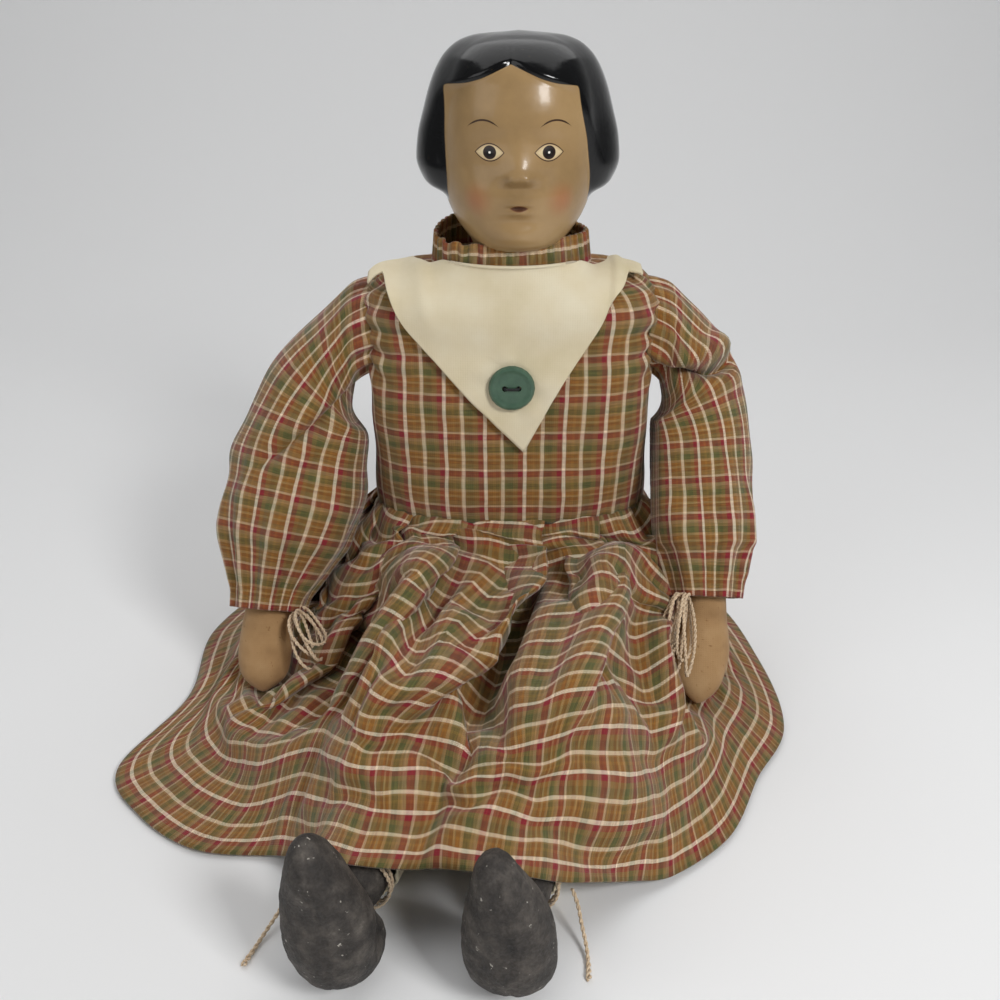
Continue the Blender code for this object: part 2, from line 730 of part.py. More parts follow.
def bow_axes(name, arm):
    """Where a wrist bow hangs from its tie: its knot, the loops' direction and their spread."""
    path, length = arm_path(arm)
    tie = tie_share(arm, length)
    centre, across, third = section(path, tie, FRONT_TO_BACK)
    along = (path(1.0) - path(tie)).normalized()
    stand_off = WRIST_RADIUS + 3 * EASE + CLOTH + 1.5 * STRING
    if name == "left":
        outward = -across
        loops = (along + outward * 0.12).normalized()
    else:
        outward = (Vector((1, 0, 0)) - along * along.x - across * 0.5).normalized()
        loops = (outward * 0.85 + along * 0.5).normalized()
    spread = loops.cross(outward).normalized()
    thick = spread.cross(loops)
    knot = centre + outward * stand_off
    return knot, loops, spread, thick


def make_wrist_bow(name, arm, body):
    bow = BOWS[name]
    knot, loops, spread, thick = bow_axes(name, arm)
    straight = bow["length"] - 2 * BOW_FOLD
    around = 2 * (straight + math.pi * BOW_FOLD)
    per_loop = 16
    step = STRING + 2 * CLEARANCE
    points = []
    for k in range(bow["loops"] * per_loop + 1):
        turn = k / per_loop
        along, across = racetrack(turn * around, straight, BOW_FOLD)
        fan = 1.0 + 0.8 * along / bow["length"]
        sideways = (turn - bow["loops"] / 2) * step * fan
        points.append(knot + loops * along + thick * (across + BOW_FOLD) + spread * sideways)
    print_least_gap(f"{name}_wrist_bow", points, STRING)
    tube(f"{name}_wrist_bow", points, STRING, cotton_string(), body)


# Legs: stuffed, sewn on at the front of the seat, lying on the floor with the toes up

THIGH_COVER = THIGH_RADIUS + PANTALOON_EASE + CLOTH
ANKLE_COVER = ANKLE_RADIUS + 2 * EASE + CLOTH + STRING
HIP_BACK = HALF_DEPTH * torso_depth_share(THIGH_COVER / TORSO_HEIGHT) + CLEARANCE
HIP = Vector((0, -(HIP_BACK + 0.8 * THIGH_RADIUS), THIGH_COVER + EASE))


def hip_place(leg):
    return HIP + Vector((leg["side"] * HIP_SPACING / 2, 0, 0))


def leg_heading(leg):
    return Vector((-math.sin(leg["swing"]), -math.cos(leg["swing"]), 0))


def leg_path(leg):
    heading = leg_heading(leg)
    top = hip_place(leg) - heading * 0.8 * THIGH_RADIUS
    ankle = hip_place(leg) + heading * LEG_LENGTH
    ankle.z = ANKLE_COVER + CLEARANCE
    return route([top, top.lerp(ankle, 0.33), top.lerp(ankle, 0.67), ankle])


leg_radius = profile((0.0, 0.02, 0.09, 0.2, 0.55, 0.9, 0.985, 1.0),
                     (0.0, 0.42 * THIGH_RADIUS, 0.8 * THIGH_RADIUS, THIGH_RADIUS, 0.92 * THIGH_RADIUS,
                      ANKLE_RADIUS, 0.9 * ANKLE_RADIUS, 0.0))


def make_leg(name, leg, body):
    path, _ = leg_path(leg)

    def place(u, v):
        share = (1 - math.cos(math.pi * v)) / 2
        centre, across, third = section(path, share, UP)
        angle = 2 * math.pi * u
        return centre + (across * math.cos(angle) + third * math.sin(angle)) * leg_radius(share)

    skin(f"{name}_leg", 14, 11, place, muslin(), body)


PANTALOON_TOP = 0.27
ANKLE_TIE = 0.93
pantaloon_ease = profile((PANTALOON_TOP, 0.5, 0.8, ANKLE_TIE, 0.985),
                         (PANTALOON_EASE, PANTALOON_EASE, PANTALOON_EASE, EASE, PANTALOON_EASE))


def make_pantaloon_leg(name, leg, body):
    path, _ = leg_path(leg)

    def place(u, v):
        share = PANTALOON_TOP + (0.985 - PANTALOON_TOP) * v
        centre, across, third = section(path, share, UP)
        angle = 2 * math.pi * u
        size = leg_radius(min(share, 0.9)) + pantaloon_ease(share)
        return centre + (across * math.cos(angle) + third * math.sin(angle)) * size

    cloth(f"{name}_pantaloon_leg", 14, 8, place, cream_cloth(), body)


def make_ankle_tie(name, leg, body):
    path, length = leg_path(leg)
    radius = ANKLE_RADIUS + 2 * EASE + CLOTH + STRING / 2
    points = winding(path, ANKLE_TIE, UP, radius, length)
    print_least_gap(f"{name}_ankle_tie", points, STRING)
    tube(f"{name}_ankle_tie", points, STRING, cotton_string(), body)


def make_ankle_tie_end(name, leg, body):
    path, _ = leg_path(leg)
    centre, across, third = section(path, ANKLE_TIE, UP)
    out = third * math.copysign(1.0, third.x * leg["side"])
    ahead = leg_heading(leg)
    reach = ANKLE_COVER + CLEARANCE + STRING / 2
    floor = STRING / 2 + CLEARANCE
    start = centre + out * reach
    points = []
    for outward, forward, height in ((0, 0, 1.0), (0.07, 0.06, 0.72), (0.13, 0.17, 0.4), (0.2, 0.33, 0.12),
                                     (0.24, 0.5, 0.0), (0.26, 0.7, 0.0)):
        place = start + (out * outward + ahead * forward) * ANKLE_END_LENGTH
        place.z = floor + (centre.z - floor) * height
        points.append(place)
    tube(f"{name}_ankle_tie_end", [spline_point(points, k / 14) for k in range(15)], STRING,
         cotton_string(), body)


def make_boot(name, leg, body):
    path, _ = leg_path(leg)
    heading = leg_heading(leg)
    side = heading.cross(UP)
    ankle = path(1.0) + heading * CLEARANCE
    half_thick = BOOT_THICKNESS / 2
    sole = ankle + heading * (BOOT_THICKNESS * 1.12)
    heel = half_thick
    points = [
        Vector((ankle.x, ankle.y, heel)),
        Vector((ankle.x, ankle.y, heel)) + heading * 0.28 * BOOT_THICKNESS,
        Vector((sole.x, sole.y, heel)) - heading * 0.46 * BOOT_THICKNESS + UP * 0.16 * BOOT_THICKNESS,
        Vector((sole.x, sole.y, 0)) - heading * 0.42 * BOOT_THICKNESS + UP * 0.55 * BOOT_HEIGHT,
        Vector((sole.x, sole.y, 0)) - heading * 0.42 * BOOT_THICKNESS + UP * 0.8 * BOOT_HEIGHT,
        Vector((sole.x, sole.y, 0)) - heading * 0.42 * BOOT_THICKNESS + UP * BOOT_HEIGHT,
    ]
    boot_path, _ = route(points)
    stations = (0.0, 0.03, 0.12, 0.3, 0.5, 0.72, 0.88, 0.97, 1.0)
    wide = profile(stations, tuple(s * BOOT_WIDTH / 2 for s in (0, 0.8, 0.95, 1.0, 1.0, 0.92, 0.7, 0.4, 0)))
    thick = profile(stations, tuple(s * half_thick for s in (0, 0.8, 0.95, 0.98, 0.9, 0.78, 0.66, 0.38, 0)))

    def place(u, v):
        share = (1 - math.cos(math.pi * v)) / 2
        centre, across, third = section(boot_path, share, side)
        angle = 2 * math.pi * u
        spot = centre + across * wide(share) * math.cos(angle) + third * thick(share) * math.sin(angle)
        spot.z = max(spot.z, CLEARANCE / 2)
        return spot

    skin(f"{name}_boot", 16, 14, place, boot_cloth(), body)


# Skirt: gathered at the waist, draped over both legs and spread on the floor

def leg_tent(x, y):
    """Height of cloth that hangs over the two legs at a place on the floor plan."""
    total = 0.0
    for leg in LEGS.values():
        hip = hip_place(leg)
        heading = leg_heading(leg)
        out = Vector((x - hip.x, y - hip.y, 0))
        share = min(max(out.dot(heading) / LEG_LENGTH, -0.15), 1.0)
        cover = THIGH_COVER + (ANKLE_COVER - THIGH_COVER) * max(share, 0.0)
        aside = (out - heading * share * LEG_LENGTH).length
        height = (2 * cover + CLEARANCE + SKIRT_LIFT) / (1 + (aside / (1.5 * cover)) ** 4)
        total = (total ** 6 + height ** 6) ** (1 / 6)
    return total


def hem_point(angle):
    """The hem's place on the floor plan for an angle round the waist."""
    turn = math.degrees(angle) % 360
    stations = [a for a, _, _ in HEM] + [360]
    i = max(k for k in range(len(HEM)) if HEM[k][0] <= turn)
    f = (turn - stations[i]) / (stations[i + 1] - stations[i])
    corner = [Vector((x, y, 0)) for _, x, y in (HEM[(i + k) % len(HEM)] for k in (-1, 0, 1, 2))]
    return spline_point(corner, (1 + f) / 3)


def skirt_point(angle, v):
    """A point of the skirt's inner face, v from the waist (0) to the hem (1)."""
    top = torso_point(angle, WAISTLINE, CLEARANCE)
    top.z = WAIST_HEIGHT - 3 * EASE
    hem = hem_point(angle)
    out = Vector((hem.x - top.x, hem.y - top.y, 0))
    folds = (0.5 + 0.5 * math.cos(FOLD_COUNT * angle + 0.8 * math.sin(2 * angle))) ** 1.5
    spread = v ** 1.5
    drop = (1 - v) ** 2.6
    place = top + out * spread
    in_front = max(math.cos(angle), 0.0)
    fold = FOLD_HEIGHT * folds * math.sin(math.pi * min(v * 1.05, 1.0)) ** 1.3
    roll = LAP_ROLL * in_front ** 2 * math.exp(-(((v - 0.66) / 0.09) ** 2))
    floor = CLEARANCE + leg_tent(place.x, place.y)
    place.z = max(top.z * drop, 0.0) + (1 - drop) * floor + fold + roll * (1 - 0.4 * folds)
    pleat = 1.2 * MM * math.cos(3 * FOLD_COUNT * angle) * math.sin(math.pi * min(3 * v, 1.0))
    puff = (2 * MM + SIDE_PUFF * (1 - in_front)) * math.sin(math.pi * min(2.5 * v, 1.0))
    return place + out.normalized() * (pleat + puff)


def make_skirt(body):
    def seam_gap(v):
        return 1.3 * EASE / (HALF_WIDTH * (1 + 1.2 * v))

    def front(u, v):
        return skirt_point((2 * u - 1) * (SIDE_SEAM - seam_gap(v)), v)

    def back(u, v):
        start = SIDE_SEAM + seam_gap(v)
        return skirt_point(start + u * 2 * (math.pi - start), v)

    cloth("skirt_front", 48, 10, front, plaid(), body, outward=False)
    cloth("skirt_back", 26, 7, back, plaid(), body, outward=False)


def make_doll():
    for obj in list(bpy.data.objects):
        bpy.data.objects.remove(obj)
    bpy.context.scene.collection.children.link(parts)
    bpy.context.scene.collection.children.link(cutters)
    doll = body_empty("doll", (0, 0, 0))
    make_torso(doll)
    make_head(doll)
    make_bodice(doll)
    make_bib(doll)
    make_neck_band(doll)
    make_button(doll)
    make_button_thread(doll)
    make_skirt(doll)
    for name, arm in ARMS.items():
        shoulder = body_empty(f"{name}_shoulder", (arm["side"] * ARM_ROOT, 0, SHOULDER_HEIGHT))
        make_arm(name, arm, shoulder)
        make_sleeve(name, arm, shoulder)
        make_wrist_tie(name, arm, shoulder)
        make_wrist_bow(name, arm, shoulder)
    for name, leg in LEGS.items():
        hip = body_empty(f"{name}_hip", hip_place(leg))
        make_leg(name, leg, hip)
        make_pantaloon_leg(name, leg, hip)
        make_ankle_tie(name, leg, hip)
        make_ankle_tie_end(name, leg, hip)
        make_boot(name, leg, hip)


make_doll()
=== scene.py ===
"""Looks of a seated papier-mache doll in a plaid dress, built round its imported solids.

Metres, +Z up. The doll faces -Y, and right and left are the doll's own, so its left side is +X.
"""

import math

import bpy
import numpy as np
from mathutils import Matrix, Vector, noise


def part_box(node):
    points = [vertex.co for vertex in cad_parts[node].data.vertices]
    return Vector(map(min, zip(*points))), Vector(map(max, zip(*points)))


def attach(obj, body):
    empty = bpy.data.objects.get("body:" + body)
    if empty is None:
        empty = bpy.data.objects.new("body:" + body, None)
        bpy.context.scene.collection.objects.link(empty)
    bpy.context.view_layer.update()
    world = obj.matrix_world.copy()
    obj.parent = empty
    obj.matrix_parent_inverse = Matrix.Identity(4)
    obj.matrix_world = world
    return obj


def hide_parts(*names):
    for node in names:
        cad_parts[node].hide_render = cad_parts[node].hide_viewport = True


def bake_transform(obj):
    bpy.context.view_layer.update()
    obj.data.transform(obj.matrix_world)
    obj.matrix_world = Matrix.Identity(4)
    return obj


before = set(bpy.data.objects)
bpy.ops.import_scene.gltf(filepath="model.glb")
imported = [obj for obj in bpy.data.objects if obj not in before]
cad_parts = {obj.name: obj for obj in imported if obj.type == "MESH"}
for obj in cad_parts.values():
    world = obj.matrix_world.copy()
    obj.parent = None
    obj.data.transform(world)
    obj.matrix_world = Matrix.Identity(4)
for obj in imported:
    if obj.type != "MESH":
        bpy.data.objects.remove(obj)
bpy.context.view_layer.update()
MM = 0.001


# Stuffed body: a muslin bag filled hard, flat where it sits and square at the shoulders.
# The dress hides all of it. The same unbleached muslin makes the arms and legs.

TORSO_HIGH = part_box("torso")[1]
TORSO_HEIGHT = TORSO_HIGH.z
TORSO_STATIONS = (0.0, 0.04, 0.21, 0.42, 0.63, 0.77, 0.855, 0.908, 0.944, 0.97, 0.99, 1.0)
TORSO_WIDTHS = (0.86, 0.97, 1.0, 0.99, 1.0, 1.0, 0.995, 0.98, 0.955, 0.9, 0.74, 0.42)
TORSO_DEPTHS = (0.82, 0.95, 1.0, 0.95, 0.95, 0.93, 0.91, 0.885, 0.86, 0.82, 0.74, 0.53)
WAISTLINE = 0.4316
WAIST_SQUARENESS = 2.6
SHOULDER_SQUARENESS = 4.0
WELD = 1e-5


def smoothstep(low, high, value):
    share = np.clip((value - low) / (high - low), 0.0, 1.0)
    return share * share * (3 - 2 * share)


def smooth_curve(stations, values):
    """A curve through the stations that never swings past their values."""
    xs, ys = np.array(stations, float), np.array(values, float)
    step = np.diff(xs)
    slope = np.diff(ys) / step
    tangent = np.zeros(len(xs))
    tangent[0], tangent[-1] = slope[0], slope[-1]
    steady = slope[:-1] * slope[1:] > 0
    tangent[1:-1][steady] = (2 * slope[:-1] * slope[1:])[steady] / (slope[:-1] + slope[1:])[steady]

    def at(x):
        i = np.clip(np.searchsorted(xs, x) - 1, 0, len(step) - 1)
        f = np.clip((x - xs[i]) / step[i], 0.0, 1.0)
        leaving = (1 + 2 * f) * (1 - f) ** 2 * ys[i] + f * (1 - f) ** 2 * step[i] * tangent[i]
        return leaving + f * f * (3 - 2 * f) * ys[i + 1] + f * f * (f - 1) * step[i] * tangent[i + 1]

    return at


def rounded_ring(angle, half_width, half_depth, squareness):
    """x and y of a level ring, angle 0 in front and growing towards the doll's left."""
    s, c = np.sin(angle), np.cos(angle)
    return (half_width * np.sign(s) * np.abs(s) ** (2 / squareness),
            -half_depth * np.sign(c) * np.abs(c) ** (2 / squareness))


torso_width = smooth_curve(TORSO_STATIONS, np.array(TORSO_WIDTHS) * TORSO_HIGH.x)
torso_depth = smooth_curve(TORSO_STATIONS, np.array(TORSO_DEPTHS) * TORSO_HIGH.y)


def torso_ring(share, offset):
    """Half width, half depth, squareness and height of a level ring on the torso or on a layer outside it."""
    low, high = np.clip(share - 0.01, 0, 1), np.clip(share + 0.01, 0, 1)
    rise, narrowing = TORSO_HEIGHT * (high - low), torso_width(low) - torso_width(high)
    out, up = rise / np.hypot(rise, narrowing), narrowing / np.hypot(rise, narrowing)
    at_shoulder = smoothstep(WAISTLINE, 0.8, share) * smoothstep(1.0, 0.94, share)
    squareness = WAIST_SQUARENESS + (SHOULDER_SQUARENESS - WAIST_SQUARENESS) * at_shoulder
    return (torso_width(share) + offset * out, torso_depth(share) + offset * out, squareness,
            TORSO_HEIGHT * share + offset * up)


def torso_surface(angle, share, offset=0.0):
    """Points on the torso at a share of its height, or on a layer of clothes outside it."""
    half_width, half_depth, squareness, z = torso_ring(share, offset)
    x, y = rounded_ring(angle, half_width, half_depth, squareness)
    return np.stack((x, y, z), axis=1)


def choose(obj):
    """Makes obj the only selected object."""
    bpy.ops.object.select_all(action="DESELECT")
    obj.select_set(True)
    bpy.context.view_layer.objects.active = obj


def read_points(mesh, field="co"):
    """The mesh's places or normals, one row for each point."""
    values = np.empty((len(mesh.vertices), 3), np.float32)
    mesh.vertices.foreach_get(field, values.ravel())
    return values


def read_corners(mesh):
    """The point at each corner of the mesh's faces."""
    corners = np.empty(len(mesh.loops), np.int32)
    mesh.loops.foreach_get("vertex_index", corners)
    return corners


def weld(obj, *steps):
    """Merges a piece's doubled points, then runs more mesh operators on all of it."""
    choose(obj)
    bpy.ops.object.mode_set(mode="EDIT")
    bpy.ops.mesh.select_all(action="SELECT")
    bpy.ops.mesh.remove_doubles(threshold=WELD)
    for step in steps:
        step()
    bpy.ops.object.mode_set(mode="OBJECT")


def formed_grid(name, columns, rows, place, flat=None, marks=None, closed=False):
    """A grid put at place(u, v) and welded where its edges meet.

    flat(u, v) gives the cut cloth's own coordinates in metres, and marks holds point attributes.
    """
    bpy.ops.object.select_all(action="DESELECT")
    bpy.ops.mesh.primitive_grid_add(x_subdivisions=columns, y_subdivisions=rows, size=1.0)
    obj = bpy.context.active_object
    mesh = obj.data
    obj.name = mesh.name = name
    knots = read_points(mesh)
    u, v = np.round(knots[:, 0] + 0.5, 5), np.round(knots[:, 1] + 0.5, 5)
    if flat:
        cut = np.stack(flat(u, v), axis=1)[read_corners(mesh)]
        mesh.uv_layers[0].data.foreach_set("uv", cut.astype(np.float32).ravel())
    for mark, value in (marks or {}).items():
        attribute = mesh.attributes.new(mark, "FLOAT", "POINT")
        attribute.data.foreach_set("value", value(u, v).astype(np.float32))
    mesh.vertices.foreach_set("co", place(u, v).astype(np.float32).ravel())
    weld(obj, *([bpy.ops.mesh.normals_make_consistent] if closed else []))
    bpy.ops.object.shade_smooth()
    return obj


def work_with(obj, kind, **settings):
    """Puts a modifier on a piece and applies it."""
    choose(obj)
    modifier = obj.modifiers.new(kind.lower(), kind)
    for name, value in settings.items():
        setattr(modifier, name, value)
    bpy.ops.object.modifier_apply(modifier=modifier.name)


def ripple(points, size, seed=0.0):
    """Smooth noise from -1 to 1 at each point, with features of about the given size."""
    return np.array([noise.noise(Vector(p) / size + Vector((seed, 0, 0))) for p in points])


def linear(hex_colour, cover=1.0):
    """Linear colour of an sRGB hex value, with how far it covers."""
    channels = [int(hex_colour[i:i + 2], 16) / 255 for i in (1, 3, 5)]
    return [c / 12.92 if c <= 0.04045 else ((c + 0.055) / 1.055) ** 2.4 for c in channels] + [cover]


def add_node(tree, kind, links=None, stops=None, out=0, **settings):
    """Adds a shader node with its settings, its ramp's stops, and its links or values; gives one output."""
    made = tree.nodes.new(f"ShaderNode{kind}")
    for name, value in settings.items():
        setattr(made, name, value)
    for count, (position, *colour) in enumerate(stops or ()):
        elements = made.color_ramp.elements
        stop = elements[count] if count < 2 else elements.new(position)
        stop.position, stop.color = position, linear(*colour)
    for socket, value in (links or {}).items():
        if isinstance(value, bpy.types.NodeSocket):
            tree.links.new(value, made.inputs[socket])
        else:
            made.inputs[socket].default_value = value
    return made.outputs[out]


def new_material(name, **constants):
    """A material with its node tree and its shader, whose constant inputs are set by name."""
    made = bpy.data.materials.new(name)
    made.use_nodes = True
    shader = made.node_tree.nodes["Principled BSDF"]
    for socket, value in constants.items():
        shader.inputs[socket.replace("_", " ")].default_value = value
    return made, made.node_tree, shader


def feed(shader, **sources):
    """Links the shader's inputs, by name, to the nodes that drive them."""
    for socket, source in sources.items():
        shader.id_data.links.new(source, shader.inputs[socket.replace("_", " ")])


def wear(obj, finish, slot, body, *nodes):
    """Gives a piece its finish, sets it on its body and lets it stand for its solids."""
    obj.data.materials.clear()
    obj.data.materials.append(finish)
    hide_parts(*nodes)
    if body:
        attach(obj, body)
    return obj


# Unbleached cotton, woven plain: dull, tan, with darker flecks of seed husk and handling stains.
MUSLIN_THREAD = 0.8 * MM  # twice the real thread, so that the weave shows
muslin, tree, shader = new_material("unbleached_muslin", Roughness=0.88, Sheen_Weight=0.15)
place = add_node(tree, "TexCoord", out="Object")
stain = add_node(tree, "TexNoise", {"Vector": place, "Scale": 1 / (16 * MM), "Detail": 5.0})
tone = add_node(tree, "ValToRGB", {0: stain},
                stops=[(0.25, "#8d6b45"), (0.5, "#a68257"), (0.78, "#b8966b")])
fleck = add_node(tree, "TexNoise", {"Vector": place, "Scale": 1 / (1.6 * MM), "Detail": 2.0})
flecked = add_node(tree, "ValToRGB", {0: fleck},
                   stops=[(0.25, "#d2c4ae"), (0.33, "#ffffff")])
skin = add_node(tree, "Mix", {0: 1.0, 6: tone, 7: flecked}, out=2,
                data_type="RGBA", blend_type="MULTIPLY")
feed(shader, Base_Color=skin)
threads = [add_node(tree, "TexWave", {"Vector": place, "Scale": 0.314 / MUSLIN_THREAD, "Distortion": 1.5,
                                      "Detail Scale": 2.0}, out=1, bands_direction=axis) for axis in "XZ"]
weave = add_node(tree, "Math", {0: threads[0], 1: threads[1]}, operation="MAXIMUM")
raised = add_node(tree, "Bump", {"Height": weave, "Strength": 0.35, "Distance": 0.12 * MM})
lumpy = add_node(tree, "Bump", {"Height": stain, "Normal": raised, "Strength": 0.5,
                                "Distance": 0.8 * MM})
feed(shader, Normal=lumpy)


def torso_bag(u, v):
    share = np.clip(1 - (1 - v) ** 1.5, 0, 1)
    spot = torso_surface(2 * np.pi * u, share)
    spot[v == 0] = (0, 0, 0)
    spot[v == 1] = (0, 0, TORSO_HEIGHT)
    return spot


torso = formed_grid("stuffed_torso", 64, 40, torso_bag, closed=True)
wear(torso, muslin, "muslin", "torso", "torso")


# Head: one hollow papier-mache moulding with its neck and shoulder plate, covered in gesso and
# painted. The hair is moulded with it, as a cap with a centre parting, and the whole is glazed.

HEAD_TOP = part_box("shoulder_head")[1].z
HEAD_HEIGHT = 83 * MM
HEAD_CENTRE = HEAD_TOP - HEAD_HEIGHT / 2
HEAD_FORWARD = 4 * MM
FACE_ASIDE = 2.4 * MM
NECK_ROWS = 0.12
PLATE_OFFSET = 3.5 * MM
HAIR_STEP = 1.9 * MM
HEAD_STATIONS = (-0.52, -0.48, -0.44, -0.39, -0.325, -0.25, -0.175, -0.075, 0.025, 0.15, 0.275,
                 0.375, 0.44, 0.48, 0.5)
bare_width = smooth_curve(HEAD_STATIONS, np.array(
    (16.0, 18.4, 20.8, 24.0, 27.4, 29.8, 31.0, 31.5, 31.5, 31.0, 29.3, 25.8, 20.8, 12.6, 0)) * MM)
bare_front = smooth_curve(HEAD_STATIONS, np.array(
    (18.5, 29.0, 33.2, 35.2, 36.2, 36.8, 36.8, 36.6, 37.0, 36.5, 34.0, 28.9, 22.2, 13.0, 0)) * MM)
bare_back = smooth_curve(HEAD_STATIONS, np.array(
    (15.5, 15.6, 16, 16.8, 18.5, 24, 28, 30, 31, 31, 29, 25, 19, 11, 0)) * MM)
hair_width = smooth_curve(HEAD_STATIONS, np.array(
    (15, 15.2, 15.5, 16, 17.5, 31.0, 39.4, 42.3, 41.5, 38.8, 35.5, 31.3, 26.0, 18.0, 0)) * MM)
hair_back = smooth_curve(HEAD_STATIONS, np.array(
    (15, 15.2, 15.5, 16, 18, 28.5, 34.2, 37.1, 37.5, 36.4, 33.8, 29.2, 24, 16, 0)) * MM)
# The parting's place across the face by height, the hair's lower edge over the forehead by the distance
# from the parting, its edge at the temples by height, and its lower ends by the angle round the head
parting_line = smooth_curve(np.array((200, 232, 245, 268, 290)) * MM, np.array((0, 0, -0.9, -3.0, -3.6)) * MM)
forehead_line = smooth_curve(np.array((0, 4, 8, 12, 18, 25, 40)) * MM,
                             np.array((276.0, 274.2, 272.4, 270.8, 269.3, 268.6, 268)) * MM)
temple_line = smooth_curve(np.array((200, 226, 232, 247, 258, 268.7, 280)) * MM,
                           np.array((28.2, 28.2, 28.2, 27.7, 26.2, 24.2, 21)) * MM)
nape_line = smooth_curve(np.radians((0, 60, 90, 115, 180)), np.array((225, 224.5, 223, 219, 213)) * MM)
nose_height = smooth_curve(np.array((200, 231.8, 233.4, 235.2, 237, 240, 246, 253, 290)) * MM,
                           np.array((0, 0, 1.5, 3.8, 4.6, 3.1, 1.1, 0, 0)) * MM)
nose_width = smooth_curve(np.array((200, 234, 237, 243, 252, 290)) * MM,
                          np.array((6.2, 6.2, 6.4, 7.0, 7, 7)) * MM)
# Soft swellings and hollows of the face: aside, height, half width, half height and depth, in mm
FACE_FORMS = (
    (3.2, 235.8, 2.0, 1.8, 1.1),    # wings of the nose
    (11.4, 246.5, 8.0, 5.5, -1.8),  # eye sockets
    (11.4, 245.4, 5.6, 3.6, 1.3),   # eyeballs
    (15.0, 229.0, 9.0, 8.0, 1.7),   # cheeks
    (0.0, 228.6, 6.5, 3.6, 1.2),    # upper lip's swell
    (0.0, 226.1, 4.2, 1.2, 0.7),    # upper lip
    (0.0, 224.7, 3.6, 0.7, -0.9),   # mouth
    (0.0, 222.9, 3.8, 1.4, 0.9),    # lower lip
    (0.0, 219.3, 7.0, 2.2, -0.9),   # hollow below the lip
    (0.0, 213.0, 8.0, 5.0, 1.8),    # chin
)


def head_turn(u):
    """Angle round the head, with the columns closest together on the face."""
    w = 2 * u - 1
    return np.pi * (0.6 * w + 0.4 * w ** 3)


def head_share(v):
    return np.interp(v, (NECK_ROWS, 1.0), (-0.52, 0.5))


def hair_edge(x, z, corner):
    """Distance inside the hair's edge as seen from the front, with soft corners; below zero on the face."""
    aside = np.abs(x - parting_line(z))
    over, beside = z - forehead_line(aside), aside - temple_line(z)
    return (over + beside + np.hypot(over - beside, corner)) / 2


def head_shape(turn, share, corner):
    """Bare reach, hair's thickness on it, direction and distance inside the hair's edges."""
    front = np.abs(turn) < np.pi / 2
    depth = np.where(front, bare_front(share), bare_back(share))
    x, y = rounded_ring(turn, bare_width(share), depth, 2.3)
    bare, heading = np.hypot(x, y), np.arctan2(x, -y)
    z = HEAD_CENTRE + HEAD_HEIGHT * share
    inside = np.where(front, hair_edge(x, z, corner), 12 * MM)
    side = np.abs(heading)
    swell = smoothstep(math.radians(52), math.radians(92), side)
    roll = 1.6 * MM * np.exp(-((z - 234 * MM) / (9 * MM)) ** 2)
    in_front = HAIR_STEP + roll + (hair_width(share) - bare_width(share) - HAIR_STEP - roll) * swell
    behind = 1 / np.hypot(np.sin(side) / np.maximum(hair_width(share), 1e-6),
                          np.cos(side) / np.maximum(hair_back(share), 1e-6)) - bare
    thick = np.where(side < math.radians(90), in_front, behind)
    above = z - nape_line(side)
    thick = np.maximum(thick, 0.0) * smoothstep(-1.0 * MM, 5 * MM, above)
    return bare, thick, heading, np.minimum(inside, above)


def head_place(u, v):
    turn, share = head_turn(u), head_share(v)
    bare, thick, heading, inside = head_shape(turn, share, 6 * MM)
    z = HEAD_CENTRE + HEAD_HEIGHT * share
    rounding = smoothstep(-0.5 * MM, 2.8 * MM, inside)
    reach = bare + thick * rounding
    across = bare * np.sin(heading) - parting_line(z)
    parting = np.exp(-(across / (1.6 * MM)) ** 2) * smoothstep(-0.1, 0.3, share)
    reach = reach - 0.9 * MM * parting * rounding
    x, y = reach * np.sin(heading), -reach * np.cos(heading)
    aside = np.abs(x)
    relief = nose_height(z) * np.exp(-(aside / nose_width(z)) ** 2)
    for form_aside, form_z, wide, high, depth in FACE_FORMS:
        off = ((aside / MM - form_aside) / wide) ** 2 + ((z / MM - form_z) / high) ** 2
        relief += depth * MM * np.exp(-off)
    y = y - relief * (1 - rounding) * (np.abs(turn) < np.pi / 2)
    sunk = smoothstep(-0.43, -0.54, share)
    y = y - HEAD_FORWARD * (1 - sunk)
    spot = np.stack((x + FACE_ASIDE * (1 - sunk), y, z), axis=1)
    spot[v == 1] = (FACE_ASIDE, -HEAD_FORWARD, HEAD_TOP)
    plate = torso_surface(turn, np.interp(v, (0.01, 0.6 * NECK_ROWS), (0.972, 0.994)), PLATE_OFFSET)
    neck = smoothstep(0.6 * NECK_ROWS, NECK_ROWS, v)[:, None]
    spot = np.where((v < NECK_ROWS)[:, None], plate * (1 - neck) + spot * neck, spot)
    spot[v == 0] = (0, 0, TORSO_HEIGHT + 1 * MM)
    return spot


def hair_mark(u, v):
    """How far a point is inside the painted hair, in millimetres."""
    inside = head_shape(head_turn(u), head_share(v), 0.8 * MM)[3]
    return np.where(v < NECK_ROWS, -3.0, np.clip(inside / MM, -3.0, 3.0))


head = formed_grid("head_and_hair", 240, 220, head_place, marks={"hair": hair_mark}, closed=True)

# Painted and glazed gesso: tan skin and black hair with a hard shine, the features brushed on thinly.
EYE = (11.4 * MM, 245.4 * MM)
EYE_HALF = (5.5 * MM, 3.1 * MM)
IRIS = 2.6 * MM
BROW = (13.9 * MM, 254.0 * MM)
BROW_HALF = 6.5 * MM
BROW_RISE = 2.9 * MM
MOUTH_HEIGHT = 224.7 * MM
MOUTH_HALF = (3.5 * MM, 1.1 * MM)
BLUSH = (17.0 * MM, 227.5 * MM)
BLUSH_SIZE = 9.0 * MM


